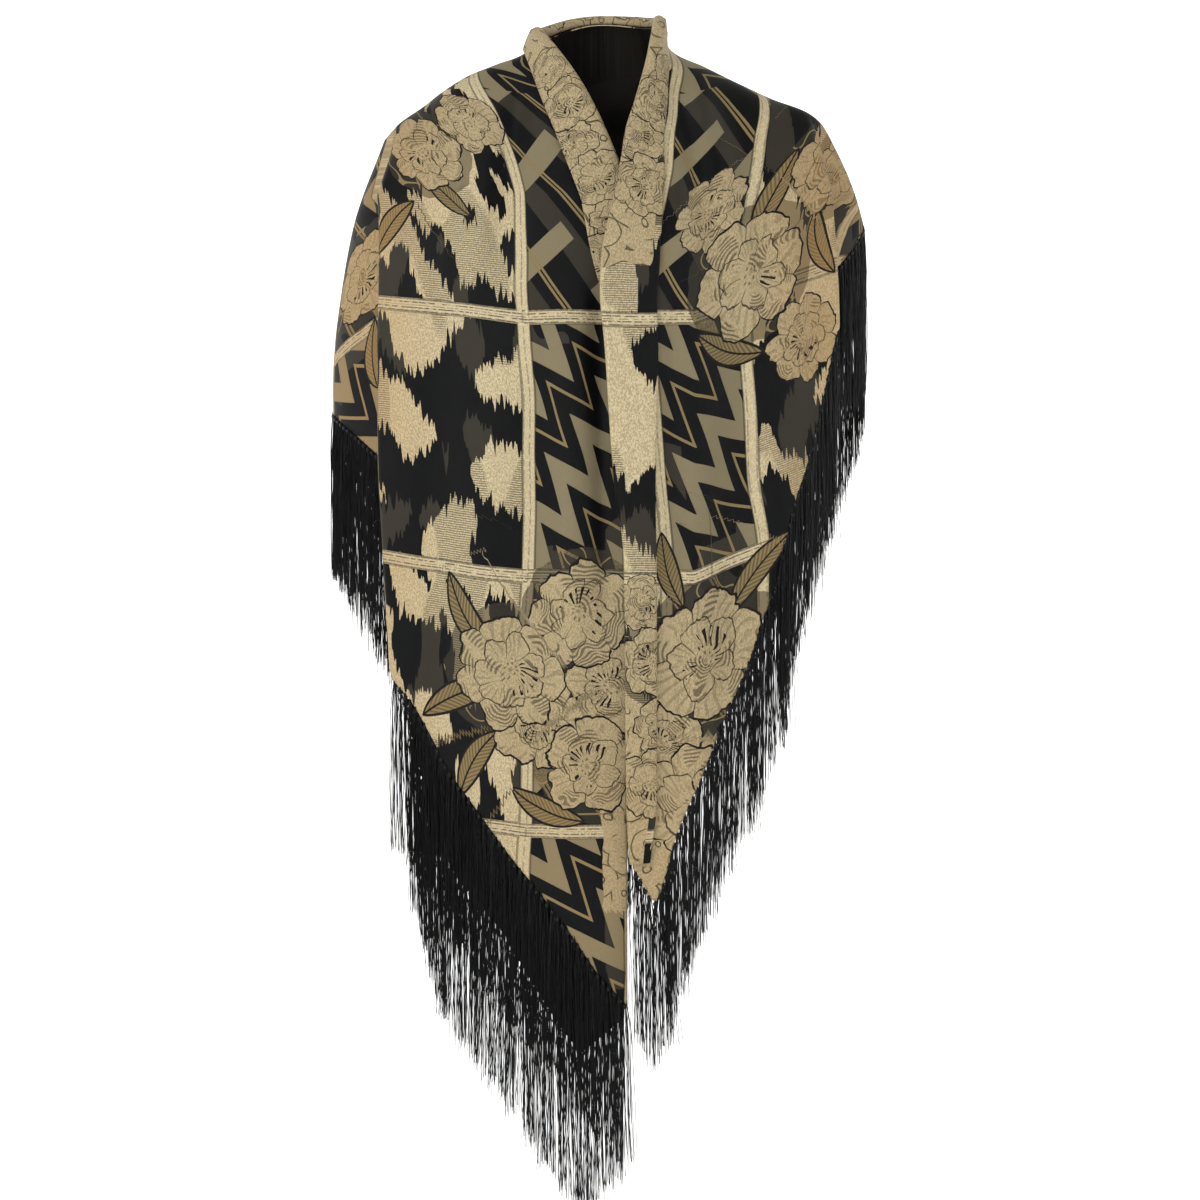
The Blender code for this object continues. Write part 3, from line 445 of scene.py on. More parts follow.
# ---------------------------------------------------------------- meshes
def mesh_object(name, points, faces, materials, face_materials=None):
    mesh = bpy.data.meshes.new(name)
    mesh.from_pydata([tuple(p) for p in points], [], faces)
    for material in materials:
        mesh.materials.append(material)
    if face_materials is not None:
        mesh.polygons.foreach_set("material_index", np.asarray(face_materials, np.int32))
    mesh.shade_smooth()
    obj = bpy.data.objects.new(name, mesh)
    bpy.context.scene.collection.objects.link(obj)
    return obj


def dress(obj, slot, *nodes):
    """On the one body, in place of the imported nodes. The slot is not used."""
    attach(obj, "root")
    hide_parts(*nodes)
    return obj


def give(obj, name, values):
    """A vector attribute on the points."""
    layer = obj.data.attributes.new(name, "FLOAT_VECTOR", "POINT")
    layer.data.foreach_set("vector", np.asarray(values, np.float32).ravel())


def grid_quads(rows, columns, first=0, flip=False):
    index = np.arange(rows * columns).reshape(rows, columns) + first
    quads = np.stack([index[:-1, :-1], index[:-1, 1:], index[1:, 1:], index[1:, :-1]], axis=-1).reshape(-1, 4)
    return (quads[:, ::-1] if flip else quads).tolist()


def ring_of(rows, columns):
    index = np.arange(rows * columns).reshape(rows, columns)
    return np.concatenate([index[0, :-1], index[:-1, -1], index[-1, :0:-1], index[:0:-1, 0]])


def cloth_shell(name, grid, outward, attributes, materials, thickness=WALL):
    """A closed thin wall of cloth: its outer face, its inner face and the rim."""
    rows, columns = grid.shape[:2]
    count = rows * columns
    points = np.concatenate([grid.reshape(-1, 3), (grid - outward * thickness).reshape(-1, 3)])
    rim = ring_of(rows, columns)
    middle = (rows // 2, columns // 2)
    down = grid[middle[0] + 1, middle[1]] - grid[middle]
    side_step = grid[middle[0], middle[1] + 1] - grid[middle]
    facing = np.cross(side_step, down) @ outward[middle] < 0
    outer = grid_quads(rows, columns, 0, flip=not facing)
    inner = grid_quads(rows, columns, count, flip=facing)
    after = np.roll(rim, -1)
    rim_quads = np.stack([rim, rim + count, after + count, after], axis=1)
    rim_quads = (rim_quads if facing else rim_quads[:, ::-1]).tolist()
    slots = [0] * len(outer) + [1] * len(inner) + [0] * len(rim_quads)
    obj = mesh_object(name, points, outer + inner + rim_quads, materials, slots)
    for key, values in attributes.items():
        flat = values.reshape(-1, 3)
        give(obj, key, np.concatenate([flat, flat]))
    return obj


# ---------------------------------------------------------------- flowers and leaves: own layout
# Side, place c across the cloth, z, radius, turn and seed. The flowers of the first list lie over the second's.
FLOWERS_A = [
    (LEFT, 0.62, -0.205, 0.056, 0.3, 1.0), (LEFT, 0.36, -0.56, 0.06, 1.1, 3.0), (LEFT, 0.3, -0.7, 0.052, 2.0, 4.0),
    (RIGHT, 0.5, -0.575, 0.054, 0.7, 2.0), (RIGHT, 0.2, -0.52, 0.05, 2.2, 5.0),
    (RIGHT, 0.15, -0.66, 0.045, 1.5, 6.0), (RIGHT, 2.62, -0.205, 0.042, 0.2, 7.0),
    (RIGHT, 0.85, -0.09, 0.04, 1.9, 8.0), (LEFT, 2.55, -0.105, 0.045, 0.5, 9.0),
    (RIGHT, 3.42, -0.19, 0.06, 1.2, 10.0), (LEFT, 3.45, -0.24, 0.062, 2.4, 11.0),
    (LEFT, 3.88, -0.42, 0.064, 0.1, 12.0), (RIGHT, 3.8, -0.52, 0.056, 1.3, 13.0),
    (RIGHT, 3.95, -0.13, 0.058, 2.1, 14.0), (LEFT, 3.72, -0.56, 0.05, 0.9, 15.0),
]
FLOWERS_B = [
    (LEFT, 0.85, -0.265, 0.04, 1.7, 16.0), (LEFT, 0.58, -0.64, 0.044, 0.2, 17.0),
    (LEFT, 0.16, -0.64, 0.04, 2.6, 18.0), (RIGHT, 0.36, -0.62, 0.046, 1.9, 19.0),
    (RIGHT, 0.06, -0.585, 0.044, 0.8, 20.0), (LEFT, 0.42, -0.15, 0.038, 1.2, 21.0),
    (RIGHT, 0.6, -0.06, 0.034, 0.6, 22.0), (RIGHT, 3.55, -0.27, 0.046, 0.4, 23.0),
    (LEFT, 3.6, -0.16, 0.046, 1.8, 24.0), (LEFT, 3.97, -0.3, 0.046, 2.7, 25.0),
    (RIGHT, 3.9, -0.64, 0.044, 0.5, 26.0), (RIGHT, 3.22, -0.15, 0.044, 2.3, 27.0),
    (LEFT, 3.25, -0.15, 0.04, 0.7, 28.0),
]
# side, place c, z, half length, turn, seed
LEAVES = [
    (LEFT, 0.74, -0.13, 0.042, 1.9, 1.0), (LEFT, 0.93, -0.175, 0.036, 1.2, 2.0),
    (LEFT, 0.5, -0.275, 0.04, 0.5, 3.0), (LEFT, 0.62, -0.48, 0.042, 2.4, 4.0), (LEFT, 0.2, -0.48, 0.036, 1.3, 5.0),
    (RIGHT, 0.66, -0.52, 0.044, 0.9, 6.0), (RIGHT, 0.72, -0.6, 0.042, 2.7, 7.0),
    (RIGHT, 0.64, -0.66, 0.038, 2.1, 8.0), (RIGHT, 0.34, -0.7, 0.038, 0.4, 9.0),
    (RIGHT, 0.95, -0.16, 0.036, 2.2, 10.0), (RIGHT, 0.72, -0.13, 0.032, 0.8, 11.0),
    (RIGHT, 2.5, -0.28, 0.034, 1.5, 12.0), (RIGHT, 3.3, -0.26, 0.044, 0.7, 13.0),
    (LEFT, 3.52, -0.33, 0.044, 2.1, 14.0), (LEFT, 3.8, -0.33, 0.042, 0.4, 15.0),
    (RIGHT, 3.72, -0.42, 0.042, 2.6, 16.0), (RIGHT, 3.82, -0.19, 0.042, 1.1, 17.0),
    (LEFT, 3.8, -0.64, 0.036, 1.6, 18.0),
]
FLOWER_REACH = 1.45
FAR = 9.0


def no_figure(shape):
    return np.dstack([np.full(shape, FAR), np.full(shape, FAR), np.zeros(shape)])


def local_frames(items, side_points, side_uv):
    """For every point: its coordinates in the frame of the nearest item, and the item's seed."""
    best = {side: np.full(uv.shape[:-1], 1e9) for side, uv in side_uv.items()}
    values = {side: no_figure(uv.shape[:-1]) for side, uv in side_uv.items()}
    for side, c, z, radius, turn, seed in items:
        centre = point(side, c, z)
        for key, uv in side_uv.items():
            far = np.linalg.norm(side_points[key] - centre, axis=-1)
            if far.min() > radius * 0.7:
                continue
            near = far / radius < best[key]
            near &= far < radius * 2.2
            at = np.unravel_index(np.argmin(far), far.shape)
            du, dv = uv[..., 0] - uv[at][0], uv[..., 1] - uv[at][1]
            x = (du * math.cos(turn) + dv * math.sin(turn)) / radius
            y = (-du * math.sin(turn) + dv * math.cos(turn)) / radius
            near &= np.hypot(x, y) < FLOWER_REACH * 1.5
            best[key] = np.where(near, far / radius, best[key])
            values[key] = np.where(near[..., None], np.dstack([x, y, np.full(x.shape, seed)]), values[key])
    return values


# ---------------------------------------------------------------- materials
def rgb(text):
    """A colour in linear light from its six hexadecimal digits."""
    values = [int(text[k:k + 2], 16) / 255 for k in (0, 2, 4)]
    return [v / 12.92 if v <= 0.04045 else ((v + 0.055) / 1.055) ** 2.4 for v in values]


class Value:
    """A socket of a node tree that can be reckoned with."""

    def __init__(self, tree, socket):
        self.tree, self.socket = tree, socket

    def math(self, operation, *others, clamp=False):
        node = self.tree.nodes.new("ShaderNodeMath")
        node.operation, node.use_clamp = operation, clamp
        for k, item in enumerate((self, *others)):
            if isinstance(item, Value):
                self.tree.links.new(item.socket, node.inputs[k])
            else:
                node.inputs[k].default_value = item
        return Value(self.tree, node.outputs[0])

    def constant(self, number):
        node = self.tree.nodes.new("ShaderNodeValue")
        node.outputs[0].default_value = number
        return Value(self.tree, node.outputs[0])

    def __add__(self, other):
        return self.math("ADD", other)

    __radd__ = __add__

    def __mul__(self, other):
        return self.math("MULTIPLY", other)

    __rmul__ = __mul__

    def __sub__(self, other):
        return self.math("SUBTRACT", other)

    def __rsub__(self, other):
        return self.constant(other).math("SUBTRACT", self)

    def __truediv__(self, other):
        return self.math("DIVIDE", other)

    def abs(self):
        return self.math("ABSOLUTE")

    def sin(self):
        return self.math("SINE")

    def cos(self):
        return self.math("COSINE")

    def fract(self):
        return self.math("FRACT")

    def floor(self):
        return self.math("FLOOR")

    def power(self, other):
        return self.math("POWER", other)

    def least(self, other):
        return self.math("MINIMUM", other)

    def most(self, other):
        return self.math("MAXIMUM", other)

    def over(self, limit, soft=0.0):
        """1 where the value is over the limit, 0 where it is under it, with an edge soft wide."""
        if soft == 0:
            return self.math("GREATER_THAN", limit)
        return ((self - limit) / soft + 0.5).math("ADD", 0.0, clamp=True)

    def under(self, limit, soft=0.0):
        return 1.0 - self.over(limit, soft)

    def mix(self, other, share):
        return self + (other - self) * share


def either(*values):
    total = values[0]
    for value in values[1:]:
        total = total.most(value)
    return total


def attribute(tree, name):
    node = tree.nodes.new("ShaderNodeAttribute")
    node.attribute_type, node.attribute_name = "GEOMETRY", name
    split = tree.nodes.new("ShaderNodeSeparateXYZ")
    tree.links.new(node.outputs["Vector"], split.inputs[0])
    return [Value(tree, output) for output in split.outputs]


def position(tree):
    """The place in space as three values."""
    geometry = tree.nodes.new("ShaderNodeNewGeometry")
    split = tree.nodes.new("ShaderNodeSeparateXYZ")
    tree.links.new(geometry.outputs["Position"], split.inputs[0])
    return [Value(tree, output) for output in split.outputs]


def combine(x, y, z=None):
    node = x.tree.nodes.new("ShaderNodeCombineXYZ")
    for k, item in enumerate((x, y, z)):
        if isinstance(item, Value):
            x.tree.links.new(item.socket, node.inputs[k])
        elif item is not None:
            node.inputs[k].default_value = item
    return node.outputs[0]


def noise(x, y, z=None, scale=1.0, detail=2.0, roughness=0.5):
    """Noise around 0.5 at a place."""
    node = x.tree.nodes.new("ShaderNodeTexNoise")
    node.noise_dimensions = "3D"
    node.inputs["Scale"].default_value = scale
    node.inputs["Detail"].default_value = detail
    node.inputs["Roughness"].default_value = roughness
    x.tree.links.new(combine(x, y, z), node.inputs["Vector"])
    return Value(x.tree, node.outputs["Fac"])


def cells(x, y, scale):
    """The distance from the nearest seed of a plane full of cells."""
    node = x.tree.nodes.new("ShaderNodeTexVoronoi")
    node.voronoi_dimensions, node.feature = "2D", "F1"
    node.inputs["Scale"].default_value = scale
    node.inputs["Randomness"].default_value = 1.0
    x.tree.links.new(combine(x, y), node.inputs["Vector"])
    return Value(x.tree, node.outputs["Distance"])


def mix_colour(first, second, share):
    """Colours as sockets or lists; share 0 gives the first."""
    tree = share.tree
    node = tree.nodes.new("ShaderNodeMix")
    node.data_type = "RGBA"
    for socket, item in ((node.inputs[6], first), (node.inputs[7], second)):
        if isinstance(item, (list, tuple)):
            socket.default_value = (*item, 1)
        else:
            tree.links.new(item, socket)
    tree.links.new(share.socket, node.inputs[0])
    return node.outputs[2]


def new_material(name, roughness, sheen, sheen_tint, specular=0.09):
    material = bpy.data.materials.new(name)
    material.use_nodes = True
    shader = material.node_tree.nodes["Principled BSDF"]
    shader.inputs["Roughness"].default_value = roughness
    shader.inputs["Metallic"].default_value = 0
    shader.inputs["Sheen Weight"].default_value = sheen
    shader.inputs["Sheen Roughness"].default_value = 0.45
    shader.inputs["Sheen Tint"].default_value = (*sheen_tint, 1)
    shader.inputs["Specular IOR Level"].default_value = specular
    return material, material.node_tree, shader


def add_bump(tree, shader, height, distance, strength=1.0):
    node = tree.nodes.new("ShaderNodeBump")
    node.inputs["Distance"].default_value = distance
    node.inputs["Strength"].default_value = strength
    tree.links.new(height.socket, node.inputs["Height"])
    tree.links.new(node.outputs[0], shader.inputs["Normal"])


BLACK = rgb("050607")
GOLD = rgb("B7AA8A")
PETAL = rgb("A09172")
# Brown gold, used only as painted shade over the light threads towards the wearer's sides and the hem.
GOLD_PAINTED_SHADE = rgb("906E40")
GOLD_DARK = rgb("736444")
OLIVE = rgb("6E6855")
OLIVE_DARK = rgb("2C2922")
INK = rgb("161412")


def sprig(x, y, seed):
    """A flower in its own frame: where it is, its dark lines, its hatched parts, and the distance from its middle."""
    warp = noise(x + seed * 3.7, y, scale=1.5, detail=1.5)
    x = x + (warp - 0.5) * 0.42
    y = y + (noise(x, y + seed * 2.3, scale=1.7, detail=1.5) - 0.5) * 0.42
    radius = (x * x + y * y).power(0.5)
    angle = y.math("ARCTAN2", x) + seed
    petals = ((seed * 0.37).fract() * 3.0).floor() + 5.0
    outer_turn = angle * petals / (2 * math.pi)
    outer_place = outer_turn.fract()
    frill = (noise(angle.cos() * 6.0, angle.sin() * 6.0, seed, scale=1.0, detail=1.0) - 0.5) * 0.16
    outer_edge = (outer_place * math.pi).sin().most(0.0).power(0.5) * 0.24 + 0.78 + frill
    inner_place = (outer_turn + 0.5).fract()
    inner_edge = (inner_place * math.pi).sin().most(0.0).power(0.5) * 0.17 + 0.45 + frill * 0.7
    inside = radius.under(outer_edge)
    edge_line = (radius - outer_edge).abs().under(0.020)
    inner_line = (radius - inner_edge).abs().under(0.013)
    parting = (outer_place - 0.5).abs().over(0.5 - 0.010) * radius.over(inner_edge)
    inner_parting = (inner_place - 0.5).abs().over(0.5 - 0.016) * radius.under(inner_edge) * radius.over(0.22)
    sector = noise(x, y, seed, scale=1.3, detail=1.0)
    streaks = (angle * 19.0 + radius * 5.0 + warp * 9.0).sin().over(0.25) * radius.over(0.20) * radius.under(0.46)
    streaks = streaks * sector.over(0.50) * noise(angle * 3.0, radius * 2.0, seed, scale=2.0).over(0.46)
    rings = ((radius + (warp - 0.5) * 0.6) * 80.0).sin().over(0.10)
    veins = (angle * 31.0 + warp * 16.0).sin().over(0.55) * radius.over(0.3) * 0.45
    hatch_where = noise(x, y, seed + 4.0, scale=2.4, detail=0.5)
    hatch = either(rings * hatch_where.over(0.57, 0.04), veins * hatch_where.under(0.47, 0.04))
    core_dots = (angle * 9.0).sin().over(0.3) * (radius * 60.0).sin().over(0.2) * radius.under(0.19)
    dark = either(edge_line, inner_line * 0.85, parting * 0.85, inner_parting * 0.75, streaks, core_dots * 0.6)
    shown = seed.over(0.5)
    return (either(inside, edge_line) * shown, dark, hatch * inside, radius)


def leaf_blade(x, y, seed):
    """A leaf in its own frame, from x -1 to 1."""
    bend = (x * x) * 0.16
    y = y + bend - 0.08
    half = (1.0 - x * x).most(0.0).power(0.8) * 0.30
    inside = y.abs().under(half)
    line = (y.abs() - half).abs().under(0.030) * x.abs().under(1.02)
    rib = y.abs().under(0.022)
    hatch = (x * 46.0 + y.abs() * 60.0).sin().over(0.1)
    return either(inside, line) * seed.over(0.5), either(line, rib), hatch * inside


def jacquard(name, seed):
    material, tree, shader = new_material(name, 0.62, 0.04, GOLD)
    u, v, dense = attribute(tree, "weave")
    flower_a, flower_b, leaf = (attribute(tree, key) for key in ("flower_a", "flower_b", "leaf"))

    # The trellis. Its lines wander a little, as woven bars do.
    wander = noise(u, v, seed, scale=9.0, detail=1.0) - 0.5
    u = u + wander * 0.006
    v = v + (noise(u, v, seed + 5.0, scale=9.0, detail=1.0) - 0.5) * 0.006
    row = v / ROW_PITCH
    odd = (row.floor() * 0.5).fract().over(0.25)
    row_place = row.fract() * ROW_PITCH
    column_place = (u / COLUMN_PITCH).fract() * COLUMN_PITCH
    animal_width = COLUMN_PITCH - ZIGZAG_WIDTH
    is_zigzag = column_place.over(animal_width)
    to_row = row_place.least(ROW_PITCH - row_place) + v.under(FIRST_ROW_BAR) * ROW_PITCH
    to_column = column_place.least(COLUMN_PITCH - column_place).least((column_place - animal_width).abs())
    row_bar = to_row.under(BAR_HALF)
    column_bar = to_column.under(BAR_HALF - 0.0008)
    bar = either(row_bar, column_bar)
    to_bar = to_row.least(to_column)
    bar_edge = to_bar.over(BAR_HALF - 0.0016) * to_bar.under(BAR_HALF + 0.0006)
    broken = noise(u * 260.0, v * 260.0, seed + 15.0, scale=1.0, detail=1.0).over(0.44, 0.10)
    along_row = (row_place * (2 * math.pi / 0.0030) + wander * 4.0).sin().under(-0.35) * row_bar * 0.75
    along_column = (column_place * (2 * math.pi / 0.0060) + wander * 5.0).sin().under(-0.70) * column_bar * 0.40
    along_lines = either(along_row, along_column) * broken

    # Zigzags, in the odd rows of the narrow columns: stairs of a shallow and a steep stroke.
    shallow, steep = ZIGZAG_STROKES
    turn = shallow[0] * steep[1] - steep[0] * shallow[1]
    across = column_place - animal_width
    fallen = row_place
    first = (across * (steep[1] / turn) - fallen * (steep[0] / turn))
    second = (fallen * (shallow[0] / turn) - across * (shallow[1] / turn))
    stairs_along = (first - second) * 0.5
    teeth = ((stairs_along.fract() - 0.5).abs() * 2.0)
    step = ((first + second) * 0.5 - teeth * 0.5 + 0.13).fract()
    wide = step.under(0.36)
    thin = step.over(0.62) * step.under(0.685)
    zig_gold = either(wide, thin)
    zig_shadow = (noise(u, v, seed + 1.0, scale=16.0, detail=0.5).over(0.56) * to_bar.under(0.024))

    # Crossed ribbons, in the even rows.
    lean = across * 0.84 - fallen * 0.54
    rise = across * 0.69 + fallen * 0.72
    ribbon = (lean / 0.062).fract()
    dark_ribbon = ribbon.under(0.34)
    thin_pair = ribbon.over(0.50) * ribbon.under(0.60)
    thin_gap = (ribbon - 0.55).abs().under(0.012)
    cross = (rise / 0.066).fract().under(0.32)
    cross_piece = cross * (lean / 0.124 + (rise / 0.066).floor() * 0.5).fract().under(0.62)

    # Animal coats: large ragged patches in the odd rows, small slanting ones in the even rows.
    teeth_size = noise(u * 300.0, v * 6.0, seed, scale=1.0, detail=1.0, roughness=0.8)
    teeth_shift = (teeth_size - 0.5) * COAT_TEETH
    ragged = v + teeth_shift
    patch = noise(u * 14.5, ragged * 14.0, seed + 2.0, scale=1.0, detail=0.8)
    patch_large = patch.over(LARGE_COAT)
    slant = u - ragged * 0.35
    patch_small = noise(slant * 36.0, ragged * 15.0, seed + 3.0, scale=1.0, detail=0.8).over(SMALL_COAT)
    coat = patch_small.mix(patch_large, odd)
    coat_shadow = noise(u * 24.0, ragged * 12.0, seed + 6.0, scale=1.0, detail=0.4).over(0.60)

    # Ground, ribbed or speckled.
    speck = noise(u * 760.0, v * 430.0, seed, scale=1.0, detail=2.5, roughness=0.75)
    fine = noise(u * 3200.0, v * 3200.0, seed + 8.0, scale=1.0, detail=1.0)
    rib_wave = (noise(u * 120.0, v * 20.0, seed, scale=1.0, detail=1.0) - 0.5) * 3.4
    ribs = (v * (2 * math.pi / RIB_PITCH) + rib_wave).sin().over(0.25, 0.5)
    ribbed = noise(u * 17.0, v * 8.0, seed + 9.0, scale=1.0, detail=0.4).over(0.53, 0.02)

    zig_part = zig_gold * odd
    cross_part = cross_piece * (1.0 - odd)
    olive = either(zig_part, cross_part) * is_zigzag * (1.0 - bar)
    thin_gold = either(thin * odd, thin_pair * (1.0 - thin_gap) * (1.0 - odd)) * is_zigzag * (1.0 - bar)
    dim = either(zig_shadow * odd * (1.0 - zig_gold), dark_ribbon * (1.0 - odd) * (1.0 - cross_piece))
    dim = dim * is_zigzag
    dim = either(dim, coat_shadow * (1.0 - coat) * (1.0 - is_zigzag))
    gold = either(coat * (1.0 - is_zigzag), bar)

    # Flowers and leaves, and the stretches that they fill.
    inside_a, dark_a, hatch_a, radius_a = sprig(*flower_a)
    inside_b, dark_b, hatch_b, _ = sprig(*flower_b)
    inside_leaf, dark_leaf, hatch_leaf = leaf_blade(*leaf)
    curl_u = u + (noise(u, v, scale=40.0, detail=1.0) - 0.5) * 0.012
    curl_v = v + (noise(v, u, scale=40.0, detail=1.0) - 0.5) * 0.012
    curl = cells(curl_u, curl_v, 34.0)
    curl_lines = (curl * 15.0).sin().over(0.93) * noise(u, v, seed + 20.0, scale=60.0, detail=1.0).over(0.42, 0.08)
    filled = (dense + (noise(u, v, scale=38.0, detail=1.0) - 0.5) * 0.9).over(0.5)
    pad_a = radius_a.under(1.22) * flower_a[2].over(0.5)
    tendrils = ((noise(u, v, seed + 12.0, scale=30.0, detail=0.0) - 0.5).abs().under(0.012)) * pad_a

    base = mix_colour(BLACK, OLIVE_DARK, dim)
    base = mix_colour(base, OLIVE, olive)
    base = mix_colour(base, GOLD_DARK, thin_gold)
    base = mix_colour(base, GOLD, gold)
    base = mix_colour(base, PETAL, filled)
    base = mix_colour(base, OLIVE_DARK, pad_a * (1.0 - filled) * 0.75)
    base = mix_colour(base, GOLD_DARK, either(inside_leaf, tendrils))
    base = mix_colour(base, PETAL, either(inside_b, inside_a))
    light = either(gold, filled, olive, thin_gold, inside_leaf, inside_b, inside_a)

    # Threads: dark ribs, flecks and outlines over the light parts.
    dark_lines = dark_leaf * inside_leaf
    dark_lines = dark_lines * (1.0 - inside_b)
    dark_lines = either(dark_lines, dark_b * inside_b) * (1.0 - inside_a)
    dark_lines = either(dark_lines, dark_a * inside_a)
    drawn = either(inside_a, inside_b, inside_leaf)
    dark_lines = either(dark_lines, curl_lines * filled * (1.0 - drawn) * 0.75)
    dark_lines = either(dark_lines, either(along_lines, bar_edge * 0.55) * (1.0 - drawn) * (1.0 - filled))
    rib_lines = either(ribs * ribbed * coat * (1.0 - is_zigzag) * (1.0 - bar) * (1.0 - drawn) * (1.0 - filled),
                       hatch_a, hatch_b * (1.0 - inside_a), hatch_leaf * 0.8 * (1.0 - inside_a) * (1.0 - inside_b))
    flecks = either(speck.over(0.49, 0.10) * 0.60, fine.over(0.60, 0.1) * 0.30) * light
    base = mix_colour(base, mix_colour(GOLD_DARK, base, bar * 0.35), flecks)
    base = mix_colour(base, INK, rib_lines * 0.62)
    base = mix_colour(base, INK, dark_lines)
    # Painted shade: the "shade" share darkens the light threads towards brown gold, more towards the wearer's sides
    # and the hem.
    painted_shade = attribute(tree, "shade")[0]
    base = mix_colour(base, GOLD_PAINTED_SHADE, painted_shade * light * 0.45 * (1.0 - dark_lines))
    tree.links.new(base, shader.inputs["Base Color"])

    thread = (speck - 0.5) * 0.55 + (fine - 0.5) * 0.3
    height = light * 0.8 + thread * (light * 0.75 + 0.25) - either(dark_lines, rib_lines * 0.7) * 0.6
    add_bump(tree, shader, height, 0.0007, 0.8)
    tree.links.new((light * 0.10 + 0.52 + (speck - 0.5) * 0.12).socket, shader.inputs["Roughness"])
    return material


def reverse_cloth():
    """The cloth's other side: dark, with the ghost of the figures."""
    material, tree, shader = new_material("reverse", 0.70, 0.04, OLIVE)
    u, v, _ = attribute(tree, "weave")
    speck = noise(u * 1400.0, v * 900.0, scale=1.0, detail=2.0, roughness=0.7)
    ghost = noise(u * 14.0, v * 10.0, 3.0, scale=1.0, detail=1.0).over(0.5, 0.05)
    ribs = (v * (2 * math.pi / 0.0018)).sin() * 0.5 + 0.5
    base = mix_colour(rgb("08090A"), rgb("1E1C18"), ghost * 0.6)
    base = mix_colour(base, rgb("3A3428"), speck.over(0.56, 0.1) * 0.30)
    tree.links.new(base, shader.inputs["Base Color"])
    add_bump(tree, shader, ribs * 0.5 + speck * 0.5, 0.0004, 0.6)
    tree.links.new((speck * 0.2 + 0.58).socket, shader.inputs["Roughness"])
    return material


def fringe_silk():
    material, tree, shader = new_material("fringe", 0.42, 0.01, rgb("6A6E75"), 0.20)
    x, y, z = position(tree)
    strand = noise(x * 900.0, y * 900.0, z * 8.0, scale=1.0, detail=1.0)
    twist = ((z * (2 * math.pi / 0.0016)) + strand * 6.0).sin() * 0.5 + 0.5
    base = mix_colour(rgb("020203"), rgb("0C0D0E"), strand.over(0.52, 0.2))
    tree.links.new(base, shader.inputs["Base Color"])
    add_bump(tree, shader, twist, 0.0002, 0.4)
    tree.links.new((strand * 0.22 + 0.28).socket, shader.inputs["Roughness"])
    return material


JACQUARD = {key: jacquard(f"jacquard_{key}", seed) for key, seed in (("right", 3.1), ("left", 7.7), ("body", 12.3))}
REVERSE = reverse_cloth()
FRINGE = fringe_silk()

# ---------------------------------------------------------------- the cloth
FRONT_COLUMNS = np.concatenate([np.linspace(0, 1, 78), np.linspace(1, 1.5, 15)[1:]])
ARM_COLUMNS = np.concatenate([np.linspace(1.5, 2.35, 20), np.linspace(2.35, 3, 24)[1:]])
BACK_COLUMNS = np.linspace(3, 4, 68)
HALF_COLUMNS = np.concatenate([ARM_COLUMNS, BACK_COLUMNS[1:]])
FRONT_ROWS = 240
BODY_ROWS = 190


def soft_folds(points, outward):
    """Small soft unevenness of cloth that hangs free, in metres along the outward direction."""
    x, y, z = points[..., 0], points[..., 1], points[..., 2]
    free = ramp((-0.16 - z) / 0.12)
    wave = 0.0011 * np.sin(46 * x + 3.1 * z + 1.3 * np.sin(9 * z)) + 0.0008 * np.sin(83 * x - 7 * z + 2)
    wave = wave + 0.0006 * np.sin(31 * z + 12 * x) + 0.0005 * np.sin(71 * y + 11 * z)
    return points + outward * (wave * (0.25 + 0.75 * free))[..., None]


def figures_for(surfaces):
    """The frames of the flowers and leaves on each surface: {key: (points, uv, sides)}."""
    points = {key: item[0] for key, item in surfaces.items()}
    uv = {key: item[1] for key, item in surfaces.items()}
    return {
        "flower_a": local_frames(FLOWERS_A, points, uv),
        "flower_b": local_frames(FLOWERS_B, points, uv),
        "leaf": local_frames(LEAVES, points, uv),
    }


def dense_share(points):
    """Where flowers fill the whole ground: the wearer's left front's lowest part."""
    x, y, z = points[..., 0], points[..., 1], points[..., 2]
    low_left = ramp((x + 0.01) / 0.02) * ramp((-0.60 - z) / 0.10) * (y < -0.05) * (z > -0.80)
    return np.clip(low_left, 0, 1)


# Painted shade: how far the gold is darkened, more towards the wearer's sides and towards the hem.
def shade_share(points):
    x, z = np.abs(points[..., 0]), points[..., 2]
    return np.clip(ramp((x - 0.13) / 0.09) * 0.8 + ramp((-0.55 - z) / 0.2) * 0.35, 0, 1)


def surface_of(side, columns, rows):
    """A side's grid of points, their flat coordinates and their outward directions."""
    grid = fall(side, columns, rows)
    u, v = flat_coordinates(side, columns[None, :], grid)
    return [grid, np.dstack([u, v]), grid_outward(side, columns, grid)]


def build_cloth():
    """The two fronts, and the stretch round the arms and the back as one piece."""
    surfaces = {key: surface_of(side, FRONT_COLUMNS, FRONT_ROWS) for key, side in (("right", RIGHT), ("left", LEFT))}
    right_half, left_half = (surface_of(side, HALF_COLUMNS, BODY_ROWS) for side in (RIGHT, LEFT))
    surfaces["body"] = [np.concatenate([a, b[:, -2::-1]], axis=1) for a, b in zip(right_half, left_half)]
    figures = figures_for(surfaces)
    pieces = {}
    for key, name, nodes in (
        ("right", "right_front_cloth", ("right_front",)),
        ("left", "left_front_cloth", ("left_front",)),
        ("body", "body_cloth", ("back", "right_arm", "left_arm")),
    ):
        grid, uv, outward = surfaces[key]
        grid = soft_folds(grid, outward)
        attributes = {"weave": np.dstack([uv[..., 0], uv[..., 1], dense_share(grid)])}
        attributes["shade"] = np.dstack([shade_share(grid)] * 3)
        for figure, values in figures.items():
            attributes[figure] = values[key]
        obj = cloth_shell(name, grid, outward, attributes, [JACQUARD[key], REVERSE])
        pieces[key] = dress(obj, "jacquard", *nodes)
        surfaces[key][0] = grid
    return surfaces, pieces


surfaces, pieces = build_cloth()


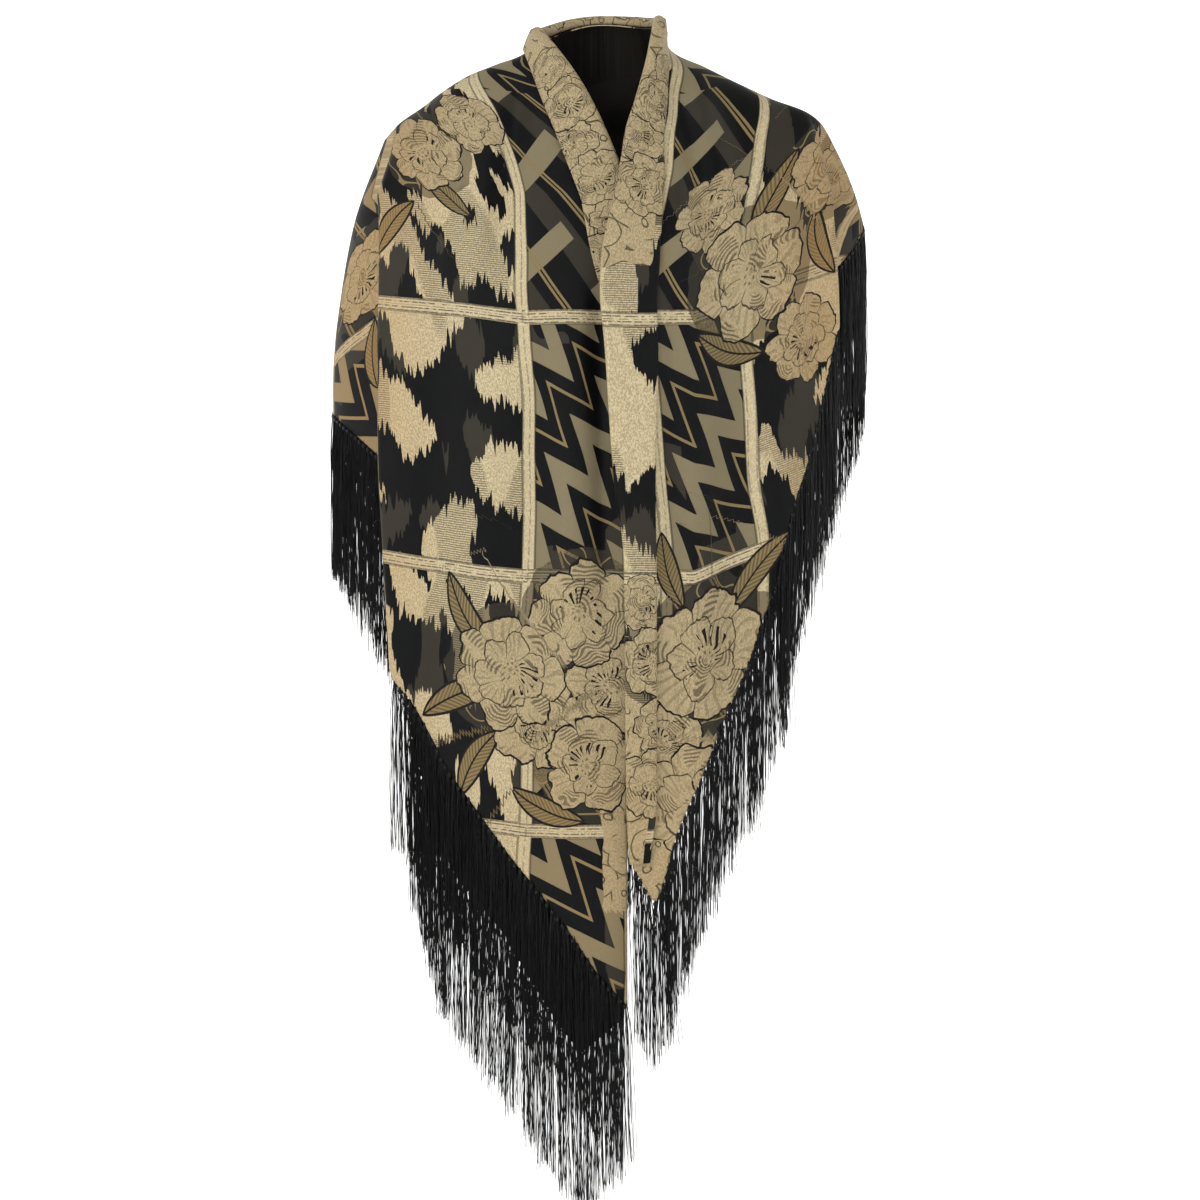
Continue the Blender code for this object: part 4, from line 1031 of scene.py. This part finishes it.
# ---------------------------------------------------------------- the turned neck edge
ROLL_CLEAR = 0.0022
ROLL_GAP = 0.0009
ROLL_PROBE = 0.05
SEAM_GAP = 0.0003
CORNER_REACH = 0.03
NAPE_START = 0.010
NAPE_TURN = 0.5
CAD_WALL = 0.0016
FRAME_COLUMNS = {RIGHT: np.array([0, 1 / 13, 2 / 13]), LEFT: np.array([0, 0.06, 0.12])}
ROLL_TURN = np.linspace(0, math.pi, 13)
ROLL_SPREAD = np.linspace(0, 1, 22)[1:]


def skin_tree(grids):
    points, polygons = [], []
    for grid in grids:
        polygons += grid_quads(*grid.shape[:2], first=len(points))
        points += [Vector(p) for p in grid.reshape(-1, 3)]
    return BVHTree.FromPolygons(points, polygons)


def front_edge_frame(side, z, face):
    """On the front's neck edge: its point, the direction out over the cloth, the direction away from the body."""
    grid, outward = face
    top_z = RIDGE[side][0][1]
    edge = point(side, 0.0, z)
    rise = unit(point(side, 0.0, min(z + 0.01, top_z)) - point(side, 0.0, z - 0.01))
    away = unit(np.array([np.interp(z, grid[::-1, 0, 2], outward[::-1, 0, k]) for k in range(3)]))
    across = unit(np.cross(rise, away) * side)
    ridge = unit(grid[0, 1] - grid[0, 0])
    out = unit(across + (ridge - across) * ramp(1 - (top_z - z) / CORNER_REACH))
    return edge, out, unit(away - out * (away @ out))


def nape_frame(side, t, face):
    """The same on the neck edge behind: t runs from the side of the neck (0) to the nape (1)."""
    _, corner_out, corner_away = front_edge_frame(side, RIDGE[side][0][1], face)
    c = NECK_CORNER + (4 - NECK_CORNER) * np.clip([t - 0.03, t, t + 0.03], 0, 1)
    before, edge, after = (top_line(side, c) * np.array([[side], [1], [1]])).T
    if t == 1:
        after = before * (-1, 1, 1)
    down_cloth = unit(point(side, c[1], edge[2] - NAPE_WIDTH) - edge)
    away = unit(np.cross(after - before, down_cloth))
    away *= np.sign(away @ (0, 1, 1))
    share = ramp(t / NAPE_TURN)
    out = unit((1 - share) * corner_out + share * down_cloth)
    away = (1 - share) * corner_away + share * away
    return edge, out, unit(away - out * (away @ out))


def roll_section(frame_here, width, height, skin, rumple):
    """One section of the turned edge: up from the cloth's edge, over, and down on to the cloth."""
    edge, out, away = frame_here
    radius = height / 2
    places = []
    for turn in ROLL_TURN:
        lift = SEAM_GAP + radius * (1 - math.cos(turn))
        places.append(edge - out * (radius * math.sin(turn) + ROLL_GAP) + away * lift)
    for share in ROLL_SPREAD:
        place = edge + out * width * share
        hit = skin.ray_cast(Vector(place + away * ROLL_PROBE), Vector(-away), 2 * ROLL_PROBE)
        base = place if hit[0] is None else np.array(hit[0])
        lift = (height - ROLL_CLEAR) * (1 - share) ** 0.8 + ROLL_CLEAR + CAD_WALL
        soft = rumple * math.sin(math.pi * min(1, share * 1.1)) * (1 + math.sin(9 * share)) * 0.5
        places.append(base + away * (lift + soft))
    return places


def settle_bases(grid):
    """Evens out the sections along the roll, so that it lies in one soft sweep."""
    for _ in range(3):
        grid[1:-1] = (grid[:-2] + 2 * grid[1:-1] + grid[2:]) / 4
    return grid


def make_roll(name, node, frames, widths, heights, rumples, skin, side, place_flat, material):
    sections = zip(frames, widths, heights, rumples)
    grid = settle_bases(np.array([roll_section(*item[:3], skin, item[3]) for item in sections]))
    outward = np.cross(np.gradient(grid, axis=1), np.gradient(grid, axis=0)) * side
    for end in (0, -1):
        _, out, away = frames[end]
        path = unit(np.cross(out, away))
        outward[end] -= (outward[end] @ path)[:, None] * path
    outward = unit(outward)
    across = np.concatenate([np.zeros((len(grid), 1)),
                             np.cumsum(np.linalg.norm(np.diff(grid, axis=1), axis=2), axis=1)], axis=1)
    along = np.concatenate([[0], np.cumsum(np.linalg.norm(np.diff(grid[:, 12], axis=0), axis=1))])
    along = np.broadcast_to(along[:, None], across.shape)
    u, v, dense, figures = place_flat(across, along, grid)
    attributes = {
        "weave": np.dstack([u, v, dense]),
        "shade": np.dstack([shade_share(grid)] * 3),
        "leaf": no_figure(u.shape),
    }
    for key in ("flower_a", "flower_b"):
        values = no_figure(u.shape)
        for centre_along, centre_across, radius, turn, seed in figures[key]:
            x, y = (across - centre_across) / radius, (along - centre_along) / radius
            x, y = x * math.cos(turn) + y * math.sin(turn), -x * math.sin(turn) + y * math.cos(turn)
            near = np.hypot(x, y) < FLOWER_REACH
            values = np.where(near[..., None], np.dstack([x, y, np.full(x.shape, seed)]), values)
        attributes[key] = values
    obj = cloth_shell(name, grid, outward, attributes, [material, REVERSE])
    return dress(obj, "jacquard", node)


RIGHT_ROLL_FLOWERS = {
    "flower_a": [
        (0.075, 0.034, 0.03, 0.4, 31.0), (0.165, 0.036, 0.031, 1.6, 32.0), (0.255, 0.034, 0.03, 2.5, 33.0),
    ],
    "flower_b": [
        (0.12, 0.022, 0.026, 0.9, 34.0), (0.21, 0.05, 0.027, 2.0, 35.0), (0.302, 0.03, 0.024, 0.1, 36.0),
    ],
}
LEFT_BAND_FLOWERS = {
    "flower_a": [
        (0.075, 0.03, 0.034, 0.2, 41.0), (0.19, 0.036, 0.033, 1.4, 42.0), (0.64, 0.04, 0.032, 2.2, 43.0),
        (0.735, 0.036, 0.031, 0.8, 44.0),
    ],
    "flower_b": [
        (0.13, 0.044, 0.028, 2.6, 45.0), (0.245, 0.026, 0.026, 0.5, 46.0), (0.69, 0.026, 0.026, 1.9, 47.0),
        (0.78, 0.044, 0.025, 1.1, 48.0),
    ],
}
NAPE_FLOWERS = {
    "flower_a": [
        (0.06, 0.034, 0.03, 0.7, 51.0), (0.15, 0.036, 0.03, 1.9, 52.0), (0.235, 0.034, 0.028, 2.8, 53.0),
    ],
    "flower_b": [
        (0.105, 0.03, 0.025, 0.3, 54.0), (0.195, 0.034, 0.026, 2.3, 55.0),
    ],
}


def right_roll_flat(across, along, grid):
    dense = np.clip(ramp((grid[..., 2] + 0.300) / 0.05), 0, 1)
    return across + 0.02, 0.60 - along * 0.9, dense, RIGHT_ROLL_FLOWERS


BAND_SHORT_OF_BAR = 0.012    # the front beside the band already carries the bar there


def left_band_flat(across, along, grid):
    z = grid[..., 2]
    total = across[:, -1:]
    u = (COLUMN_PITCH - ZIGZAG_WIDTH) - BAND_SHORT_OF_BAR - (total - across)
    v = ROW_PITCH + np.where(z < -0.248, -0.248 - z, (-0.248 - z) * 1.05)
    dense = np.maximum(ramp((z + 0.215) / 0.03), ramp((-0.575 - z) / 0.05)) * ramp((total - across - 0.006) / 0.002)
    return u, v, dense, LEFT_BAND_FLOWERS


def nape_flat(across, along, grid):
    return across + 0.02, along - 0.10, np.ones(across.shape), NAPE_FLOWERS


def build_rolls():
    made = {}
    coarse = {}
    for side in (RIGHT, LEFT):
        grid = fall(side, FRAME_COLUMNS[side], 18, 1.4)
        coarse[side] = (grid, grid_outward(side, FRAME_COLUMNS[side], grid))
    for name, node, side, table, key, count, place_flat, rumple in (
        ("right_collar", "right_roll", RIGHT, RIGHT_ROLL, "right", 90, right_roll_flat, 0.0016),
        ("left_collar", "left_band", LEFT, LEFT_BAND, "left", 200, left_band_flat, 0.0010),
    ):
        levels = np.linspace(table[0][0], table[-1][0], count)
        frames = [front_edge_frame(side, z, coarse[side]) for z in levels]
        rumples = rumple * (np.sin(levels * 58 + 1) + 0.6 * np.sin(levels * 121))
        rumples *= ramp((levels[-1] - levels) / 0.04)
        made[name] = make_roll(name, node, frames, read(table, levels, 1), read(table, levels, 2), np.abs(rumples),
                               skin_tree([surfaces[key][0]]), side, place_flat, JACQUARD[key])
    steps = np.linspace(NAPE_START, 1, 40)
    frames = [nape_frame(RIGHT, t, coarse[RIGHT]) for t in steps]
    frames += [nape_frame(LEFT, t, coarse[LEFT]) for t in steps[-2::-1]]
    ends = {RIGHT: RIGHT_ROLL[-1], LEFT: LEFT_BAND[-1]}
    sizes = []
    for column, middle in ((1, NAPE_WIDTH), (2, NAPE_ROLL)):
        halves = [ends[s][column] + (middle - ends[s][column]) * ramp(steps) for s in (RIGHT, LEFT)]
        sizes.append(np.concatenate([halves[0], halves[1][-2::-1]]))
    rumples = 0.0008 * np.abs(np.sin(np.linspace(0, 9, len(frames))))
    made["nape_collar"] = make_roll("nape_collar", "nape_roll", frames, *sizes, rumples,
                                    skin_tree([surfaces[key][0] for key in ("body", "right", "left")]), RIGHT,
                                    nape_flat, JACQUARD["body"])
    return made


collars = build_rolls()


# ---------------------------------------------------------------- the layer below
def under_place(out, z, share):
    behind = UNDER_NEAR + (UNDER_FAR - UNDER_NEAR) * ramp(share * 1.6)
    (place_out, y), _ = beside_front(RIGHT, out, z, behind)
    y = y + fold_depth(FRONT_FOLDS[RIGHT], out, z)
    return np.stack([-place_out, y, z], axis=-1)


def under_hem(count):
    out, low, top = np.array(UNDER_LAYER).T
    at = np.linspace(0, len(out) - 1, count)
    index = np.arange(len(out))
    return np.interp(at, index, out), np.interp(at, index, low), np.interp(at, index, top)


def build_under_layer():
    out, low, top = under_hem(90)
    share = np.linspace(0, 1, 46)[:, None]
    grid = under_place(np.broadcast_to(out, (46, 90)), top + (low - top) * share, share)
    outward = np.cross(np.gradient(grid, axis=0), np.gradient(grid, axis=1))
    outward *= np.sign(-outward[..., 1:2])
    outward = unit(outward)
    weave = np.dstack([-grid[..., 0], -grid[..., 2], np.zeros(share.shape) + 0 * grid[..., 0]])
    obj = cloth_shell("under_cloth", grid, outward, {"weave": weave}, [REVERSE, REVERSE])
    return dress(obj, "reverse", "under_layer")


under_cloth = build_under_layer()

# ---------------------------------------------------------------- the fringe
LOCK_PITCH = 0.0062
THREADS = 15
THREAD_RINGS = 9
THREAD_RADIUS = 0.00042
FRINGE_LENGTH = 0.155


def thread_tubes(paths, radii):
    """Three-sided tubes along paths (threads, rings, 3): points and faces."""
    threads, rings = paths.shape[:2]
    turn = np.arange(3) * 2 * math.pi / 3
    ring = np.stack([np.cos(turn), np.sin(turn), 0 * turn], axis=1)
    points = paths[:, :, None, :] + ring * radii[:, :, None, None]
    base = np.arange(threads)[:, None, None] * rings * 3 + np.arange(rings - 1)[None, :, None] * 3
    k = np.arange(3)[None, None, :]
    n = (k + 1) % 3
    quads = np.stack([base + k, base + 3 + k, base + 3 + n, base + n], axis=-1).reshape(-1, 4)
    last = np.arange(threads) * rings * 3 + (rings - 1) * 3
    ends = np.stack([last + 2, last + 1, last], axis=1)
    return points.reshape(-1, 3), quads.tolist() + ends.tolist()


def knots(centres, size, first):
    """A small bead of thread at each centre."""
    sides, heights = 6, (0.9, 0.45, -0.4, -1.0)
    widths = (0.45, 1.0, 0.95, 0.5)
    turn = np.arange(sides) * 2 * math.pi / sides
    rings = [np.stack([np.cos(turn) * w, np.sin(turn) * w, np.full(sides, h * 1.15)], axis=1) for h, w in
             zip(heights, widths)]
    shape = np.concatenate(rings) * size
    points = (centres[:, None, :] + shape[None]).reshape(-1, 3)
    faces = []
    for i in range(len(centres)):
        start = first + i * sides * 4
        for r in range(3):
            for k in range(sides):
                n = (k + 1) % sides
                a = start + r * sides
                faces.append((a + k, a + sides + k, a + sides + n, a + n))
        faces.append(tuple(start + k for k in range(sides)))
        faces.append(tuple(start + 3 * sides + k for k in range(sides))[::-1])
    return points, faces


def build_fringe(name, node, line, away, seed):
    """Locks of fine thread that hang from a hem: gathered at a knot, straight, and frayed at the ends."""
    random = np.random.default_rng(seed)
    lengths = np.concatenate([[0], np.cumsum(np.linalg.norm(np.diff(line, axis=0) * (1, 1, 0.6), axis=1))])
    count = max(4, int(lengths[-1] / LOCK_PITCH))
    stations = (np.arange(count) + 0.5) * lengths[-1] / count
    root = np.stack([np.interp(stations, lengths, line[:, k]) for k in range(3)], axis=1)
    out = unit(np.stack([np.interp(stations, lengths, away[:, k]) for k in range(3)], axis=1) * (1, 1, 0.001))
    along = np.stack([-out[:, 1], out[:, 0], 0 * out[:, 0]], axis=1)
    hang = np.linspace(0, 1, THREAD_RINGS)
    size = (count, THREADS)
    spread_along = random.normal(0, 0.0030, size)
    spread_out = random.normal(0, 0.0016, size)
    length = FRINGE_LENGTH * (1.0 + random.normal(0, 0.028, size)) * (1 + random.normal(0, 0.018, (count, 1)))
    length = np.clip(length, FRINGE_LENGTH * 0.80, FRINGE_LENGTH * 1.055)
    phase, pace = random.uniform(0, 2 * math.pi, (*size, 1)), random.uniform(7, 13, (*size, 1))
    swell = random.uniform(0.0002, 0.0011, (*size, 1))
    drift = random.normal(0, 0.0022, (count, 1, 1)) + random.normal(0, 0.0016, (*size, 1))
    slow = 0.0022 * np.sin(0.21 * np.arange(count) + seed)[:, None, None]
    gather = ramp(hang / 0.22)
    loosen = 0.35 + 0.65 * hang
    side_step = spread_along[..., None] * (0.20 + 0.80 * gather) + swell * np.sin(phase + pace * hang) * gather
    side_step = side_step + (drift + slow) * hang**1.6
    out_step = spread_out[..., None] * (0.30 + 0.70 * gather)
    out_step = out_step + swell * np.cos(phase * 1.7 + pace * hang) * gather * loosen
    paths = root[:, None, None, :] + along[:, None, None, :] * side_step[..., None]
    paths = paths + out[:, None, None, :] * out_step[..., None]
    paths[..., 2] -= length[..., None] * hang - 0.0010
    radii = THREAD_RADIUS * (1 - 0.35 * hang) * np.ones((*size, 1))
    points, faces = thread_tubes(paths.reshape(-1, THREAD_RINGS, 3), radii.reshape(-1, THREAD_RINGS))
    knot_points, knot_faces = knots(root - (0, 0, 0.0034), 0.0021, len(points))
    obj = mesh_object(name, np.concatenate([points, knot_points]), faces + knot_faces, [FRINGE])
    return dress(obj, "fringe", node)


def hem_part(key, columns, start, stop):
    chosen = (columns >= start) & (columns <= stop)
    grid, _, outward = surfaces[key]
    return grid[-1][chosen] - outward[-1][chosen] * WALL / 2, outward[-1][chosen]


BODY_PLACES = {
    RIGHT: np.concatenate([HALF_COLUMNS, np.full(len(HALF_COLUMNS) - 1, -1.0)]),
    LEFT: np.concatenate([np.full(len(HALF_COLUMNS) - 1, -1.0), HALF_COLUMNS[::-1]]),
}
for number, (name, key, side, start, stop) in enumerate((
    ("right_front", "right", RIGHT, 0.0, 1.0), ("left_front", "left", LEFT, 0.0, 1.0),
    ("right_arm", "body", RIGHT, 2.36, 2.995), ("left_arm", "body", LEFT, 2.36, 2.995),
    ("back_right", "body", RIGHT, 3.005, 3.998), ("back_left", "body", LEFT, 3.005, 3.998),
)):
    places = FRONT_COLUMNS if key != "body" else BODY_PLACES[side]
    hem = hem_part(key, places, start, stop)
    build_fringe(f"{name}_strands", f"fringe_{name}", *hem, 100 + number)
hem_out, hem_low, _ = under_hem(90)
hem_line = under_place(hem_out, hem_low, np.ones(len(hem_out))) + (0, WALL / 2, 0)
build_fringe("under_strands", "fringe_under", hem_line, np.tile((0.0, -1.0, 0.0), (90, 1)), 120)


# ---------------------------------------------------------------- light, floor and camera
def make_stage():
    """A plain pale floor that turns up into a round wall, so that there is a backdrop from every side."""
    paper, tree, shader = new_material("paper", 0.9, 0.0, (1, 1, 1))
    x, y, _ = position(tree)
    tone = noise(x, y, scale=0.8)
    tree.links.new(mix_colour(rgb("E4E4E3"), rgb("E9E9E8"), tone), shader.inputs["Base Color"])
    shader.inputs["Emission Color"].default_value = (1, 1, 1, 1)
    shader.inputs["Emission Strength"].default_value = BACKDROP_GLOW
    turn = np.linspace(0, math.pi / 2, 13)[1:]
    profile = [(0.5, FLOOR_Z), (STAGE_RADIUS - STAGE_TURN, FLOOR_Z)]
    profile += [(STAGE_RADIUS - STAGE_TURN * (1 - math.sin(a)), FLOOR_Z + STAGE_TURN * (1 - math.cos(a)))
                for a in turn]
    profile.append((STAGE_RADIUS, STAGE_TOP))
    sides = 64
    angles = np.arange(sides) * 2 * math.pi / sides
    points = [(r * math.cos(a), r * math.sin(a), z) for r, z in profile for a in angles]
    faces = [tuple(range(sides))]
    for k in range(len(profile) - 1):
        for j in range(sides):
            n = (j + 1) % sides
            faces.append((k * sides + j, (k + 1) * sides + j, (k + 1) * sides + n, k * sides + n))
    mesh_object("backdrop", points, faces, [paper])


def area_light(name, place, size, power, aim=(0, 0, -0.45)):
    data = bpy.data.lights.new(name, "AREA")
    data.shape, data.size, data.energy = "DISK", size, power
    obj = bpy.data.objects.new(name, data)
    obj.location = place
    obj.rotation_euler = (Vector(aim) - Vector(place)).to_track_quat("-Z", "Y").to_euler()
    bpy.context.scene.collection.objects.link(obj)


FLOOR_Z = -1.25
STAGE_RADIUS = 4.6
STAGE_TURN = 1.5
STAGE_TOP = 3.4
BACKDROP_GLOW = 0.60
WORLD_GLOW = 0.20
LAMPS = [                    # name, place, size in metres, power in watts
    ("key", (-2.0, -2.3, 1.5), 1.3, 48), ("fill", (2.4, -2.2, 0.3), 2.0, 2),
    ("top", (-0.2, -0.5, 2.4), 1.4, 16), ("low", (0.0, -2.6, -1.0), 2.0, 2),
]
CAMERA_PLACE = (-0.002, -2.682, -0.307)
CAMERA_TILT = math.radians(85.5)
CAMERA_LENS, CAMERA_SENSOR = 82.5, 36
make_stage()
for lamp in LAMPS:
    area_light(*lamp)
world = bpy.data.worlds.new("studio")
world.use_nodes = True
world.node_tree.nodes["Background"].inputs[0].default_value = (1, 1, 1, 1)
world.node_tree.nodes["Background"].inputs[1].default_value = WORLD_GLOW
bpy.context.scene.world = world

camera_data = bpy.data.cameras.new("camera")
camera_data.lens, camera_data.sensor_width = CAMERA_LENS, CAMERA_SENSOR
camera = bpy.data.objects.new("camera", camera_data)
camera.location = CAMERA_PLACE
camera.rotation_euler = Euler((CAMERA_TILT, 0, 0))
bpy.context.scene.collection.objects.link(camera)
bpy.context.scene.camera = camera
bpy.context.scene.view_settings.view_transform = "Standard"
